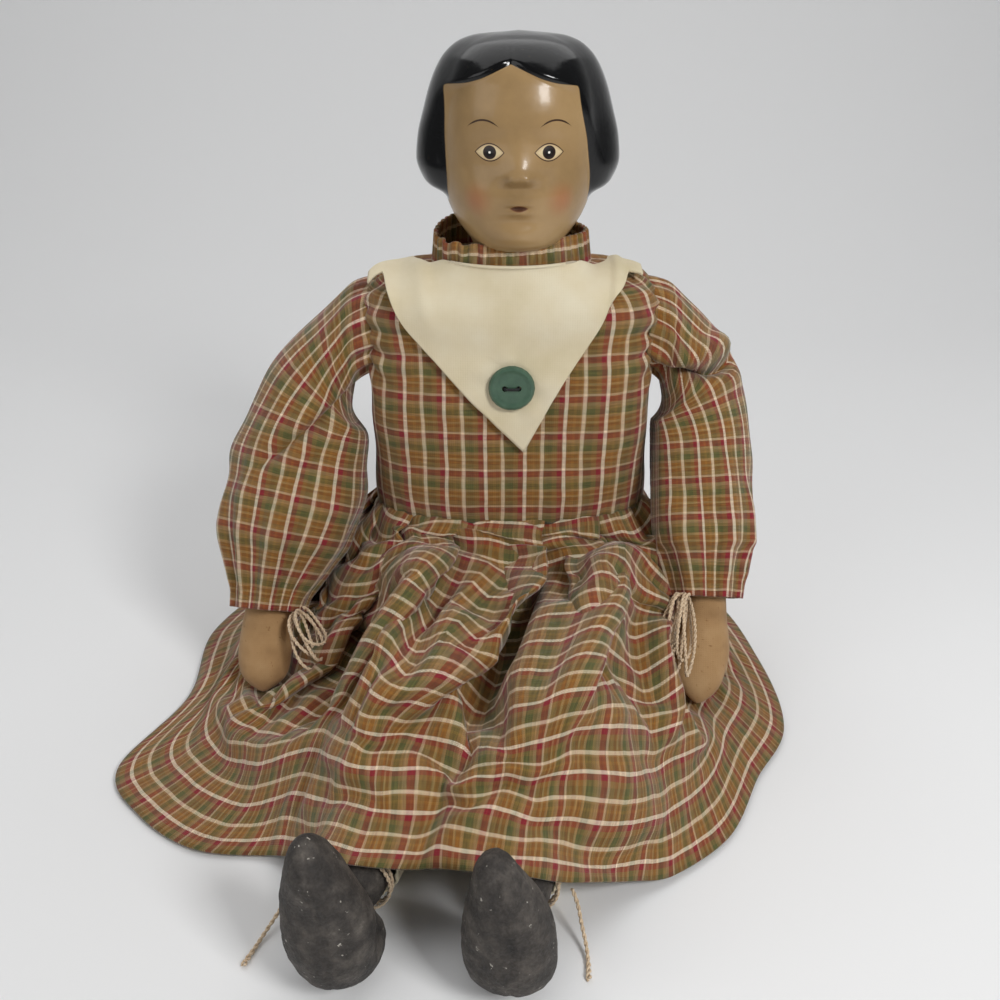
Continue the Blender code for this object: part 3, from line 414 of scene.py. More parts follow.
def lens(centre, half):
    """Nodes for a lens-shaped outline on the mirrored face: 1 in its middle, 0 on its edge."""
    offset = add_node(tree, "VectorMath", {0: mirrored, 1: (-centre[0], 0.0, -centre[1])}, operation="ADD")
    scaled = add_node(tree, "VectorMath", {0: offset, 1: (1 / half[0], 0.0, 1 / half[1])},
                      operation="MULTIPLY")
    parts = add_node(tree, "SeparateXYZ", {0: scaled}).node.outputs
    bend = add_node(tree, "Math", {0: parts["X"], 1: 2.0}, operation="POWER")
    rise = add_node(tree, "Math", {0: parts["Z"]}, operation="ABSOLUTE")
    spread = add_node(tree, "Math", {0: bend, 1: rise}, operation="ADD")
    return add_node(tree, "Math", {0: 1.0, 1: spread}, operation="SUBTRACT")


def painted_over(below, stroke, mask=None):
    """Lays a stroke, a ramp with see-through ends, over the paint below it."""
    cover = stroke.node.outputs["Alpha"]
    if mask:
        cover = add_node(tree, "Math", {0: cover, 1: mask}, operation="MULTIPLY")
    return add_node(tree, "Mix", {0: cover, 6: below, 7: stroke}, out=2, data_type="RGBA")


glaze, tree, shader = new_material("glazed_papier_mache", IOR=1.48, Coat_Weight=0.2, Coat_Roughness=0.1)
place = add_node(tree, "TexCoord", out="Object")
centred = add_node(tree, "VectorMath", {0: place, 1: (-FACE_ASIDE, 0.0, 0.0)}, operation="ADD")
mirrored = add_node(tree, "VectorMath", {0: centred}, operation="ABSOLUTE")
mottle = add_node(tree, "TexNoise", {"Vector": place, "Scale": 1 / (22 * MM), "Detail": 6.0})
paint = add_node(tree, "ValToRGB", {0: mottle},
                 stops=[(0.3, "#8f744e"), (0.52, "#a08258"), (0.75, "#ac8e63")])
reach = add_node(tree, "VectorMath", {0: mirrored, 1: (BLUSH[0], 38 * MM, BLUSH[1])}, out=1,
                 operation="DISTANCE")
rosy = add_node(tree, "MapRange", {0: reach, 1: 0.0, 2: BLUSH_SIZE, 3: 0.55, 4: 0.0},
                interpolation_type="SMOOTHSTEP")
paint = add_node(tree, "Mix", {0: rosy, 6: paint, 7: linear("#a9623c")}, out=2, data_type="RGBA")
eye = lens(EYE, EYE_HALF)
lids = add_node(tree, "ValToRGB", {0: add_node(tree, "MapRange", {0: eye, 1: -1.0, 2: 1.0})},
                stops=[(0.445, "#4a2f1c", 0.0), (0.47, "#3f2717"),
                       (0.52, "#3f2717"), (0.55, "#c9ae84"), (0.72, "#d8c49b")])
paint = painted_over(paint, lids)
gaze = add_node(tree, "VectorMath", {0: mirrored, 1: (-EYE[0], 0.0, -EYE[1])}, operation="ADD")
gaze = add_node(tree, "VectorMath", {0: gaze, 1: (1 / IRIS, 0.0, 1 / IRIS)}, operation="MULTIPLY")
gaze = add_node(tree, "VectorMath", {0: gaze}, out=1, operation="LENGTH")
# The iris is the doll's own dark paint with a brown ring. The white dot in its middle is a painted highlight,
# a catch light.
iris_and_painted_highlight = add_node(tree, "ValToRGB", {0: gaze},
                stops=[(0.0, "#f2ede2"), (0.14, "#f2ede2"), (0.2, "#070403"),
                       (0.55, "#0c0604"), (0.75, "#2a150b"), (0.93, "#120906"),
                       (1.0, "#120906", 0.0)])
within = add_node(tree, "MapRange", {0: eye, 1: 0.0, 2: 0.08})
paint = painted_over(paint, iris_and_painted_highlight, within)
arch = add_node(tree, "SeparateXYZ", {0: mirrored}).node.outputs
over = add_node(tree, "Math", {0: arch["X"], 1: BROW[0]}, operation="SUBTRACT")
over = add_node(tree, "Math", {0: over, 1: 1 / BROW_HALF}, operation="MULTIPLY")
over = add_node(tree, "Math", {0: over, 1: 2.0}, operation="POWER")
taper = add_node(tree, "Math", {0: 1.0, 1: over}, operation="SUBTRACT")
crest = add_node(tree, "Math", {0: taper, 1: BROW_RISE, 2: BROW[1]}, operation="MULTIPLY_ADD")
off_line = add_node(tree, "Math", {0: arch["Z"], 1: crest}, operation="SUBTRACT")
off_line = add_node(tree, "Math", {0: off_line}, operation="ABSOLUTE")
hair_line = add_node(tree, "MapRange", {0: taper, 1: 0.0, 2: 0.7, 3: 0.0, 4: 0.42 * MM})
stroke = add_node(tree, "Math", {0: hair_line, 1: off_line}, operation="SUBTRACT")
stroke = add_node(tree, "MapRange", {0: stroke, 1: 0.0, 2: 0.16 * MM})
paint = add_node(tree, "Mix", {0: stroke, 6: paint, 7: linear("#3a2416")}, out=2, data_type="RGBA")
mouth = add_node(tree, "MapRange", {0: lens((0.0, MOUTH_HEIGHT), MOUTH_HALF), 1: -1.0, 2: 1.0})
lips = add_node(tree, "ValToRGB", {0: mouth},
                stops=[(0.36, "#8a5a3c", 0.0), (0.47, "#7d4a30", 0.6),
                       (0.55, "#62402a"), (0.8, "#4c2c1a")])
paint = painted_over(paint, lips)
hair = add_node(tree, "Attribute", out="Fac", attribute_name="hair")
in_hair = add_node(tree, "MapRange", {0: hair, 1: -0.12, 2: 0.12})
paint = add_node(tree, "Mix", {0: in_hair, 6: paint, 7: linear("#060607")}, out=2, data_type="RGBA")
chips = add_node(tree, "TexNoise", {"Vector": place, "Scale": 1 / (1.1 * MM), "Detail": 3.0})
chipped = add_node(tree, "MapRange", {0: chips, 1: 0.74, 2: 0.78, 3: 0.0, 4: 0.3})
paint = add_node(tree, "Mix", {0: chipped, 6: paint, 7: linear("#b79a72")}, out=2, data_type="RGBA")
feed(shader, Base_Color=paint)
shine = add_node(tree, "MapRange", {0: in_hair, 3: 0.33, 4: 0.16})
feed(shader, Roughness=shine)
shader.inputs["Specular IOR Level"].default_value = 0.36
brushed = add_node(tree, "TexNoise", {"Vector": place, "Scale": 1 / (2.4 * MM), "Detail": 4.0})
uneven = add_node(tree, "Bump", {"Height": brushed, "Strength": 0.5, "Distance": 0.14 * MM})
feed(shader, Normal=uneven)
wear(head, glaze, "papier_mache", "torso", "shoulder_head")


# Bodice: plaid homespun cut in one length of cloth round the body, sewn to the skirt at the waist.
# The stripes with white in them run up and down, and the cloth puckers at the armholes.

CLOTH = 0.9 * MM
EASE = 1.0 * MM
PLATE = 2.5 * MM
NECKLINE = 0.993
SHOULDER_HEIGHT = 167 * MM
ARMHOLE = 12 * MM
REPEAT = 17.6 * MM
THREAD = 0.45 * MM
# The two sets of threads, as widths in mm and colours: the first has the white stripes
WARP = ((2.3, "#7d1026"), (1.6, "#f2e2ca"), (2.5, "#7a5420"), (1.2, "#8a6224"), (1.7, "#745424"),
        (0.7, "#947042"), (1.6, "#e4d2b4"), (1.4, "#5c5629"), (2.4, "#4e4d24"), (2.2, "#735a2c"))
WEFT = ((2.7, "#86201e"), (1.1, "#c4a684"), (2.3, "#8a6636"), (1.6, "#854d14"), (1.0, "#a3804e"),
        (1.8, "#8c5617"), (1.2, "#a17f50"), (2.8, "#585729"), (1.5, "#886e40"), (1.6, "#9c7e56"))


def stripes(threads):
    """A ramp's stops for one repeat of striped threads, with even repeats."""
    total = sum(width for width, _ in threads)
    starts = np.cumsum([0.0] + [width for width, _ in threads]) / total
    return [(float(start), colour) for start, (_, colour) in zip(starts, threads)]


# Homespun cotton, woven plain from dyed yarn: dull, fuzzy, with slubs, and each crossing shows one thread.
plaid, tree, shader = new_material("plaid_homespun", Roughness=0.92, Sheen_Weight=0.25, Sheen_Roughness=0.5)
cut = add_node(tree, "UVMap")
drift = add_node(tree, "TexNoise", {"Vector": cut, "Scale": 1 / (9 * MM), "Detail": 2.0}, out=1)
drift = add_node(tree, "VectorMath", {0: drift, 1: (-0.5, -0.5, 0.0)}, operation="ADD")
drift = add_node(tree, "VectorMath", {0: drift, 1: (0.9 * MM, 0.9 * MM, 0.0), 2: cut},
                 operation="MULTIPLY_ADD")
axes = add_node(tree, "SeparateXYZ", {0: drift}).node.outputs
dyed = []
for axis, threads in (("X", WARP), ("Y", WEFT)):
    turn = add_node(tree, "Math", {0: axes[axis], 1: 1 / REPEAT}, operation="MULTIPLY")
    phase = add_node(tree, "Math", {0: turn}, operation="FRACT")
    ramp = add_node(tree, "ValToRGB", {0: phase}, stops=stripes(threads))
    ramp.node.color_ramp.interpolation = "CONSTANT"
    dyed.append(ramp)
crossing = add_node(tree, "TexChecker", {"Vector": cut, "Color1": (0, 0, 0, 1), "Color2": (1, 1, 1, 1),
                                         "Scale": 1 / THREAD}, out=1)
on_top = add_node(tree, "MapRange", {0: crossing, 3: 0.3, 4: 0.72})
woven = add_node(tree, "Mix", {0: on_top, 6: dyed[0], 7: dyed[1]}, out=2, data_type="RGBA")
slub = add_node(tree, "Mapping", {0: cut, 3: (1 / (9 * MM), 1 / (0.7 * MM), 1.0)})
slubs = add_node(tree, "TexNoise", {"Vector": slub, "Scale": 1.0, "Detail": 2.0})
uneven = add_node(tree, "MapRange", {0: slubs, 1: 0.3, 2: 0.7, 3: 0.74, 4: 1.22})
faded = add_node(tree, "Mix", {0: 1.0, 6: woven, 7: uneven}, out=2,
                 data_type="RGBA", blend_type="MULTIPLY")
feed(shader, Base_Color=faded)
ribs = [add_node(tree, "TexWave", {"Vector": cut, "Scale": 0.314 / (2 * THREAD)}, out=1, bands_direction=axis)
        for axis in "XY"]
rib = add_node(tree, "Math", {0: ribs[0], 1: ribs[1]}, operation="ADD")
raised = add_node(tree, "Bump", {"Height": rib, "Strength": 0.4, "Distance": 0.12 * MM})
crease = add_node(tree, "TexNoise", {"Vector": cut, "Scale": 1 / (7 * MM), "Detail": 3.0})
rumpled = add_node(tree, "Bump", {"Height": crease, "Normal": raised, "Strength": 0.7,
                                  "Distance": 1.1 * MM})
feed(shader, Normal=rumpled)


def bodice_offset(share):
    """The bodice lies on the torso and, above the shoulders, on the head's plate."""
    return EASE + (PLATE + EASE) * smoothstep(0.84, 0.955, share)


NECK_EDGE = 0.998
CHEST = 0.72
FRONT_STRIPE = 3 * MM
ROUND_ANGLES = np.linspace(-np.pi, np.pi, 721)


def lengths_round(share):
    """Length of cloth laid round the body at a height, up to each of the angles."""
    ring = torso_surface(ROUND_ANGLES, np.full(len(ROUND_ANGLES), share), bodice_offset(share))
    return np.concatenate(([0.0], np.cumsum(np.linalg.norm(np.diff(ring, axis=0), axis=1))))


def even_angles(u, share):
    """Angles that space a row's columns evenly along the cloth."""
    angle = np.empty(len(u))
    for level in np.unique(share):
        lengths = lengths_round(level)
        row = share == level
        angle[row] = np.interp(u[row] * lengths[-1], lengths, ROUND_ANGLES)
    return angle


CHEST_ROUND = lengths_round(CHEST)[-1]


def bodice_share(v):
    return WAISTLINE + (NECK_EDGE - WAISTLINE) * (1 - (1 - v) ** 1.6)


def bodice_place(u, v):
    share = bodice_share(v)
    angle = even_angles(u, share)
    flat = torso_surface(angle, share, bodice_offset(share))
    from_armhole = np.hypot(flat[:, 1], flat[:, 2] - SHOULDER_HEIGHT)
    bearing = np.arctan2(flat[:, 1], flat[:, 2] - SHOULDER_HEIGHT)
    gathered = np.exp(-((from_armhole - 20 * MM) / (14 * MM)) ** 2)
    gathered *= smoothstep(0.45, 0.85, np.abs(np.sin(angle)))
    pucker = 0.9 * MM * np.cos(15 * bearing + 4 * ripple(flat, 26 * MM)) * gathered
    blouse = 1.8 * MM * np.exp(-((share - WAISTLINE - 0.06) / 0.07) ** 2)
    tucks = 0.5 * MM * np.cos(34 * angle) * np.exp(-((share - WAISTLINE) / 0.05) ** 2)
    soft = 1.1 * MM * ripple(flat, 27 * MM, 3.0) * smoothstep(0.95, 0.85, share)
    return torso_surface(angle, share, bodice_offset(share) + pucker + blouse + tucks + soft + 0.6 * MM)


def bodice_cut(u, v):
    share = bodice_share(v)
    over = 30 * MM * smoothstep(0.95, 1.0, share)
    return (u - 0.5) * CHEST_ROUND - FRONT_STRIPE, TORSO_HEIGHT * share + over


def cut_away(obj, doomed):
    """Deletes the faces whose middles doomed(place) picks."""
    choose(obj)
    bpy.ops.object.mode_set(mode="EDIT")
    bpy.ops.mesh.select_mode(type="FACE")
    bpy.ops.mesh.select_all(action="DESELECT")
    bpy.ops.object.mode_set(mode="OBJECT")
    for polygon in obj.data.polygons:
        polygon.select = bool(doomed(polygon.center))
    bpy.ops.object.mode_set(mode="EDIT")
    bpy.ops.mesh.delete(type="FACE")
    bpy.ops.object.mode_set(mode="OBJECT")


bodice = formed_grid("plaid_bodice", 220, 80, bodice_place, bodice_cut)
cut_away(bodice, lambda p: abs(p.x) > 40 * MM and math.hypot(p.y, p.z - SHOULDER_HEIGHT) < ARMHOLE)
work_with(bodice, "SOLIDIFY", thickness=CLOTH, offset=1.0)
wear(bodice, plaid, "plaid", "torso", "bodice")


# Neck band: a straight strip of the plaid with its stripes along it, gathered round the neck.
# Its lower edge is caught in the neck seam, and it gapes a little at the doll's right.

BAND_LOW, BAND_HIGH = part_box("neck_band")
BAND_ROUND = 205 * MM
BAND_CUT = 20 * MM
BAND_TUCK = 5.5 * MM


def band_place(u, v):
    angle = 2 * np.pi * u - np.pi
    lean = 1 - 0.07 * v
    half = (BAND_HIGH - BAND_LOW) / 2
    middle = (BAND_LOW + BAND_HIGH) / 2
    x, y = rounded_ring(angle, half.x * lean, half.y * lean, 2.0)
    front = (1 + np.cos(angle)) / 2
    gape = np.exp(-((angle + 0.9) / 0.5) ** 2)
    crimp = np.cos(46 * angle + 2 * np.sin(3 * angle)) * (0.25 + 0.45 * v) * MM + 2.2 * MM * gape * v
    radius = np.hypot(x, y)
    rise = 14 * MM - 5 * MM * front + 1.5 * MM * np.sin(2 * angle + 0.6)
    rise += 0.8 * MM * gape * np.sin(23 * angle)
    z = BAND_LOW.z - BAND_TUCK * (1 - v) + (rise + 1 * MM * front) * v
    return np.stack((x + crimp * x / radius, middle.y + y + crimp * y / radius, z), axis=1)


band = formed_grid("neck_band_plaid", 260, 14, band_place,
                   lambda u, v: (7.6 * MM - v * BAND_CUT, u * BAND_ROUND))
work_with(band, "SOLIDIFY", thickness=1.6 * CLOTH, offset=0.0)
work_with(band, "SUBSURF", levels=1, render_levels=1)
wear(band, plaid, "plaid", "torso", "neck_band")


# Bib: a three-cornered piece of cream cotton, doubled and turned, that hangs from the neck seam in front
# with its two upper corners on the shoulders. The button holds its point.

BIB_CORNERS = (-60 * MM, 55 * MM)
# Places across and heights of the lower edge, in mm
BIB_EDGE = ((-62, 194.5), (-43, 171.5), (-19, 143.5), (5.4, 118.5), (21.4, 149), (40.8, 180.5), (56, 190.5))
NECK_SEAM = 201 * MM
BIB_FOLD = 43 * MM
BUTTON_LOW, BUTTON_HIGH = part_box("button")
BUTTON = (BUTTON_LOW + BUTTON_HIGH) / 2


def bib_offset(share):
    return bodice_offset(share) + 2 * CLOTH + 1.4 * EASE


ridge_shares = np.linspace(0.86, NECKLINE, 160)
ridge_widths = torso_ring(ridge_shares, bib_offset(ridge_shares))[0]


def bib_place(u, v):
    across = BIB_CORNERS[0] + (BIB_CORNERS[1] - BIB_CORNERS[0]) * u
    top = np.interp(np.abs(across), ridge_widths[::-1], ridge_shares[::-1])
    edge = np.interp(across, *np.array(BIB_EDGE).T * MM)
    low = np.minimum(edge / TORSO_HEIGHT, top - 1.2 * MM / TORSO_HEIGHT)
    share = low + (top - low) * (1 - (1 - v) ** 1.6)
    x, z = across, TORSO_HEIGHT * share
    from_button = np.hypot(x - BUTTON.x, z - BUTTON.z)
    pulled = np.exp(-(from_button / (13 * MM)) ** 2)
    bearing = np.arctan2(z - BUTTON.z, x - BUTTON.x)
    pucker = 0.3 * MM * np.cos(7 * bearing) * np.exp(-((from_button - 14 * MM) / (6 * MM)) ** 2)
    soft = 0.7 * MM * ripple(np.stack((x, 0 * x, z), axis=1), 22 * MM, 7.0) * (1 - pulled)
    high = smoothstep(168 * MM, 182 * MM, z)
    fold = 1.5 * MM * np.exp(-((x - BIB_FOLD - 0.25 * (z - 180 * MM)) / (2.2 * MM)) ** 2) * high
    tuck = 1.0 * MM * np.exp(-((x + 38 * MM + 0.3 * (z - 185 * MM)) / (3.5 * MM)) ** 2) * high
    stiff = 5 * MM * smoothstep(-46 * MM, -60 * MM, x) + 2 * MM * smoothstep(46 * MM, 55 * MM, x)
    lift = bib_offset(share) + pucker + np.maximum(soft, -0.6 * MM) - 0.4 * MM * pulled + fold + tuck + stiff
    half_width, half_depth, squareness, height = torso_ring(share, lift)
    sine = np.clip(np.abs(x) / half_width, 0, 1) ** (squareness / 2)
    y = -half_depth * np.sqrt(1 - sine ** 2) ** (2 / squareness)
    reach = (BAND_HIGH - BAND_LOW) / 2
    neck = np.sqrt(1 - np.clip(x / (reach.x + 1 * MM), -1, 1) ** 2)
    stand = smoothstep(0.62, 1.0, v) * smoothstep(36 * MM, 24 * MM, np.abs(x))
    y += stand * ((BAND_LOW.y + BAND_HIGH.y) / 2 - (reach.y + 1.6 * MM) * neck - y)
    height += stand * (NECK_SEAM - height)
    return np.stack((x, y, height), axis=1)


bib = formed_grid("cream_bib", 150, 60, bib_place, lambda u, v: (u * 0.115, v * 0.076))
work_with(bib, "SOLIDIFY", thickness=1.3 * CLOTH, offset=1.0)

# Old cream cotton, woven plain and fine: dull, yellowed in patches, with a turned edge.
cream, tree, shader = new_material("cream_cotton", Roughness=0.9, Sheen_Weight=0.2)
place = add_node(tree, "TexCoord", out="Object")
patches = add_node(tree, "TexNoise", {"Vector": place, "Scale": 1 / (26 * MM), "Detail": 5.0})
yellowed = add_node(tree, "ValToRGB", {0: patches},
                    stops=[(0.3, "#d3c5a0"), (0.5, "#dccfb0"), (0.72, "#e2d8be")])
feed(shader, Base_Color=yellowed)
threads = [add_node(tree, "TexWave", {"Vector": place, "Scale": 0.314 / (1.0 * MM), "Distortion": 1.0},
                    out=1, bands_direction=axis) for axis in "XZ"]
weave = add_node(tree, "Math", {0: threads[0], 1: threads[1]}, operation="ADD")
raised = add_node(tree, "Bump", {"Height": weave, "Strength": 0.22, "Distance": 0.1 * MM})
wrinkle = add_node(tree, "TexNoise", {"Vector": place, "Scale": 1 / (9 * MM), "Detail": 3.0})
rumpled = add_node(tree, "Bump", {"Height": wrinkle, "Normal": raised, "Strength": 0.4,
                                  "Distance": 0.7 * MM})
feed(shader, Normal=rumpled)
wear(bib, cream, "cream_cotton", "torso", "bib")


# Button: moulded plastic with a dished middle and two holes.
# It is sewn through the bib's point with black thread, and its own solid is shown.

# Moulded plastic: smooth, a little scuffed, so it keeps a broad dull shine.
button_plastic, tree, shader = new_material("green_plastic", IOR=1.49)
place = add_node(tree, "TexCoord", out="Object")
scuffs = add_node(tree, "TexNoise", {"Vector": place, "Scale": 1 / (3 * MM), "Detail": 6.0})
tint = add_node(tree, "ValToRGB", {0: scuffs}, stops=[(0.3, "#3f5a48"), (0.7, "#4a6652")])
feed(shader, Base_Color=tint)
dulled = add_node(tree, "MapRange", {0: scuffs, 1: 0.3, 2: 0.7, 3: 0.28, 4: 0.42})
feed(shader, Roughness=dulled)
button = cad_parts["button"]
button.data.materials.clear()
button.data.materials.append(button_plastic)

# Black sewing cotton: dull and twisted, with painted sheen on the plies and painted shade between them.
dark_thread, tree, shader = new_material("black_thread", Roughness=0.8)
place = add_node(tree, "TexCoord", out="Object")
twist = add_node(tree, "TexWave", {"Vector": place, "Scale": 0.314 / (0.6 * MM)}, out=1,
                 bands_direction="DIAGONAL")
# The ramp's lighter bands are painted sheen on the plies, and its darker bands are painted shade in the
# grooves of the twist.
tone = add_node(tree, "ValToRGB", {0: twist}, stops=[(0.0, "#0a0a0b"), (1.0, "#2a2a2c")])
feed(shader, Base_Color=tone)
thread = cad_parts["button_thread"]
thread.data.materials.clear()
thread.data.materials.append(dark_thread)


# Arms: stuffed muslin tubes that end in mitten hands and lie on the skirt.
# Each is sewn to the body at the shoulder only, so it swings there.

ARM_ROOT = 60.8 * MM
HAND_HEIGHT = 14 * MM
ARM_BOW = 15 * MM
ARMS = {
    "right": {"side": -1, "spread": 52 * MM, "forward": 70 * MM, "hand": 40 * MM},
    "left": {"side": 1, "spread": 22 * MM, "forward": 78 * MM, "hand": 50 * MM},
}


def route(points):
    """The smooth curve through the points as a function of its length share, and its length."""
    knots = np.array(points, float)
    padded = np.vstack((knots[:1], knots, knots[-1:]))
    fine = np.linspace(0, 1, 481)

    def raw(t):
        x = np.clip(t, 0, 1) * (len(knots) - 1)
        i = np.minimum(x.astype(int), len(knots) - 2)
        f = (x - i)[:, None]
        p0, p1, p2, p3 = (padded[i + k] for k in range(4))
        return 0.5 * (2 * p1 + (p2 - p0) * f + (2 * p0 - 5 * p1 + 4 * p2 - p3) * f ** 2
                      + (3 * p1 - p0 - 3 * p2 + p3) * f ** 3)

    steps = np.linalg.norm(np.diff(raw(fine), axis=0), axis=1)
    travelled = np.concatenate(([0.0], np.cumsum(steps)))

    def at(share):
        return raw(np.interp(np.atleast_1d(share) * travelled[-1], travelled, fine))

    return at, float(travelled[-1])


def unit(vectors):
    return vectors / np.linalg.norm(vectors, axis=-1, keepdims=True)


def sections(path, share, reference):
    """Middles, directions nearest to reference, and third directions of a tube's sections."""
    along = unit(path(np.minimum(share + 0.01, 1.0)) - path(np.maximum(share - 0.01, 0.0)))
    across = unit(reference - along * (along @ reference)[:, None])
    return path(share), across, np.cross(along, across)


FRONT_TO_BACK = np.array((0.0, 1.0, 0.0))


def arm_path(arm):
    """The arm's middle line: out of the shoulder, bowed at the elbow, forward to the fingertips."""
    shoulder = np.array((arm["side"] * ARM_ROOT, 0, SHOULDER_HEIGHT))
    drop = SHOULDER_HEIGHT - HAND_HEIGHT
    points = [shoulder]
    for share, bow in ((0.0, 0.32), (0.055, 0.72), (0.2, 1.25), (0.45, 1.15), (0.75, 0.75), (1.0, 0.05)):
        aside = arm["spread"] * share + ARM_BOW * bow
        points.append(shoulder + (arm["side"] * aside, -arm["forward"] * share ** 1.5, -drop * share))
    return route(points)


def soft_copy(node, name, levels):
    """A finer, rounder copy of a stuffed piece's solid."""
    copy = bpy.data.objects.new(name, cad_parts[node].data.copy())
    bpy.context.scene.collection.objects.link(copy)
    weld(copy, bpy.ops.mesh.tris_convert_to_quads)
    work_with(copy, "SUBSURF", levels=levels, render_levels=levels)
    bpy.ops.object.shade_smooth()
    return copy


def knead(obj, size, depth, seed):
    """Moves a stuffed piece's skin in and out along its normals, as lumps of filling do."""
    places, normals = read_points(obj.data), read_points(obj.data, "normal")
    places += normals * (ripple(places, size, seed) * depth)[:, None].astype(np.float32)
    obj.data.vertices.foreach_set("co", places.ravel())


for name, arm in ARMS.items():
    made = soft_copy(f"{name}_arm", f"{name}_stuffed_arm", 3)
    knead(made, 13 * MM, 0.7 * MM, arm["side"])
    wear(made, muslin, "muslin", f"{name}_arm", f"{name}_arm")


# Sleeves: the same plaid, set into the armholes, full at the elbow and drawn in with string at the wrist.
# The left one is pushed up, so that it breaks in a deep crease below the shoulder.

STRING = 1.6 * MM
SLEEVE_ROUND = 200 * MM
CUFF = 16.5 * MM
CUFF_FRILL = 6.5 * MM
SLEEVE_ROOT = 2.6 * MM
SLEEVE_CLEAR = 67 * MM
# Radii down the sleeve in mm, a crease's place across, height and slope, its depth and the fullness above it,
# how far it keeps to the inner side, and how far the sleeve leans on the body
SLEEVES = {
    "right": {"radius": (20, 20.0, 23.0, 28.0, 27.2, 21.5), "crease": (-86 * MM, 131 * MM, 0.6),
              "depth": 4 * MM, "cap": 1 * MM, "inner": 0.8, "lean": 5 * MM},
    "left": {"radius": (20, 22.5, 21.5, 22.5, 22.2, 20), "crease": (61 * MM, 151 * MM, 0.07),
             "depth": 11 * MM, "cap": 6 * MM, "inner": 0.0, "lean": 3 * MM},
}


def cuff_tie(arm, length):
    """Length share of the wrist tie."""
    return 1 - (arm["hand"] + 3 * STRING) / length


def body_side(y, z):
    """How far the bodice reaches sideways at a place in front of or behind the middle and a height."""
    share = np.clip(z / TORSO_HEIGHT, 0, 1)
    half_width, half_depth, squareness, _ = torso_ring(share, bodice_offset(share) + CLOTH)
    return half_width * (1 - np.minimum(np.abs(y) / half_depth, 1) ** squareness) ** (1 / squareness)


def make_sleeve(name, arm):
    path, length = arm_path(arm)
    tie = cuff_tie(arm, length)
    end = tie + CUFF_FRILL / length
    start = SLEEVE_ROOT / length
    sleeve = SLEEVES[name]
    radius = smooth_curve((start, 0.14, 0.27, 0.46, 0.6, tie - 15 * MM / length, tie, end),
                          np.array((*sleeve["radius"], CUFF / MM, CUFF / MM - 0.8)) * MM)

    def place(u, v):
        share = start + (end - start) * (1 - v)
        centre, across, third = sections(path, share, FRONT_TO_BACK)
        hanging = smoothstep(start, 0.36, share)[:, None]
        along = unit(np.array((arm["side"], 0.0, 0.0)) * (1 - hanging) + np.cross(across, third) * hanging)
        across = unit(FRONT_TO_BACK - along * along[:, 1:2])
        angle = 2 * np.pi * u
        low = np.clip((share - 0.3) / (tie - 0.3), 0, 1)
        pleat = np.cos(9 * angle + 1.6 * np.sin(2 * angle + arm["side"]))
        gather = 2.3 * MM * (np.maximum(pleat, -0.3) - 0.2) * smoothstep(0.15, 0.9, low)
        gather = gather * (1 - 0.4 * smoothstep(0.93, 1.0, low))
        top = 1.1 * MM * np.cos(13 * angle) * np.exp(-((share - start) / 0.09) ** 2)
        ring = np.cross(along, across) * np.cos(angle)[:, None] + across * np.sin(angle)[:, None]
        spot = centre + ring * (radius(share) + gather + top)[:, None]
        fold = 3.0 * MM * ripple(spot, 21 * MM, 11.0 + arm["side"]) * np.sin(np.pi * np.clip(low, 0.05, 0.95))
        inner = -arm["side"] * np.cos(angle)
        elbow = smoothstep(0.12, 0.3, share) * smoothstep(0.8, 0.55, share)
        fold += sleeve["lean"] * smoothstep(0.2, 0.9, inner) * elbow
        crease_x, crease_z, rise = sleeve["crease"]
        slant = crease_z + rise * (spot[:, 0] - crease_x) - spot[:, 2]
        facing = smoothstep(-0.2, 0.6, -np.sin(angle) + sleeve["inner"] * (inner - 0.5))
        facing = facing * smoothstep(64 * MM, 73 * MM, np.abs(spot[:, 0]))
        fold -= sleeve["depth"] * np.exp(-(slant / (2.6 * MM)) ** 2) * facing
        fold += sleeve["cap"] * np.exp(-((slant + 7 * MM) / (5 * MM)) ** 2) * facing
        fold += 1.6 * MM * np.exp(-((slant - 7 * MM) / (4 * MM)) ** 2) * facing
        spot = spot + ring * fold[:, None]
        seat = body_side(spot[:, 1], spot[:, 2])
        gone = smoothstep(start, start + 0.05, share)
        nearest = (seat - 0.5 * MM) * (1 - gone) + np.maximum(seat + 3 * CLOTH, SLEEVE_CLEAR) * gone
        reach = nearest * (1 - gone) + np.maximum(arm["side"] * spot[:, 0], nearest) * gone
        spot[:, 0] = arm["side"] * reach
        return spot

    made = formed_grid(f"{name}_plaid_sleeve", 144, 110, place,
                       lambda u, v: (arm["side"] * u * SLEEVE_ROUND, v * length * end))
    work_with(made, "SOLIDIFY", thickness=CLOTH, offset=1.0)
    wear(made, plaid, "plaid", None, f"{name}_sleeve")
    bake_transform(made)


for name, arm in ARMS.items():
    make_sleeve(name, arm)


# String ties: soft cotton string wound twice round each cuff to gather it.
# The rest of the string hangs from the knot in loops.

TIE_TURNS = 2
CLEARANCE = 0.4 * MM
WRIST = 10 * MM
GATHERED = 2 * EASE + 1.2 * MM
BOWS = {
    "right": {"loops": 4, "length": 27 * MM, "width": 6.5 * MM, "outward": np.array((1.0, -0.7, 0)),
              "lift": 0.65, "flat": False},
    "left": {"loops": 6, "length": 36 * MM, "width": 5.2 * MM, "outward": np.array((-0.9, -1.0, 0)),
             "lift": 0.1, "flat": True},
}
PLY_LAY = 3.0

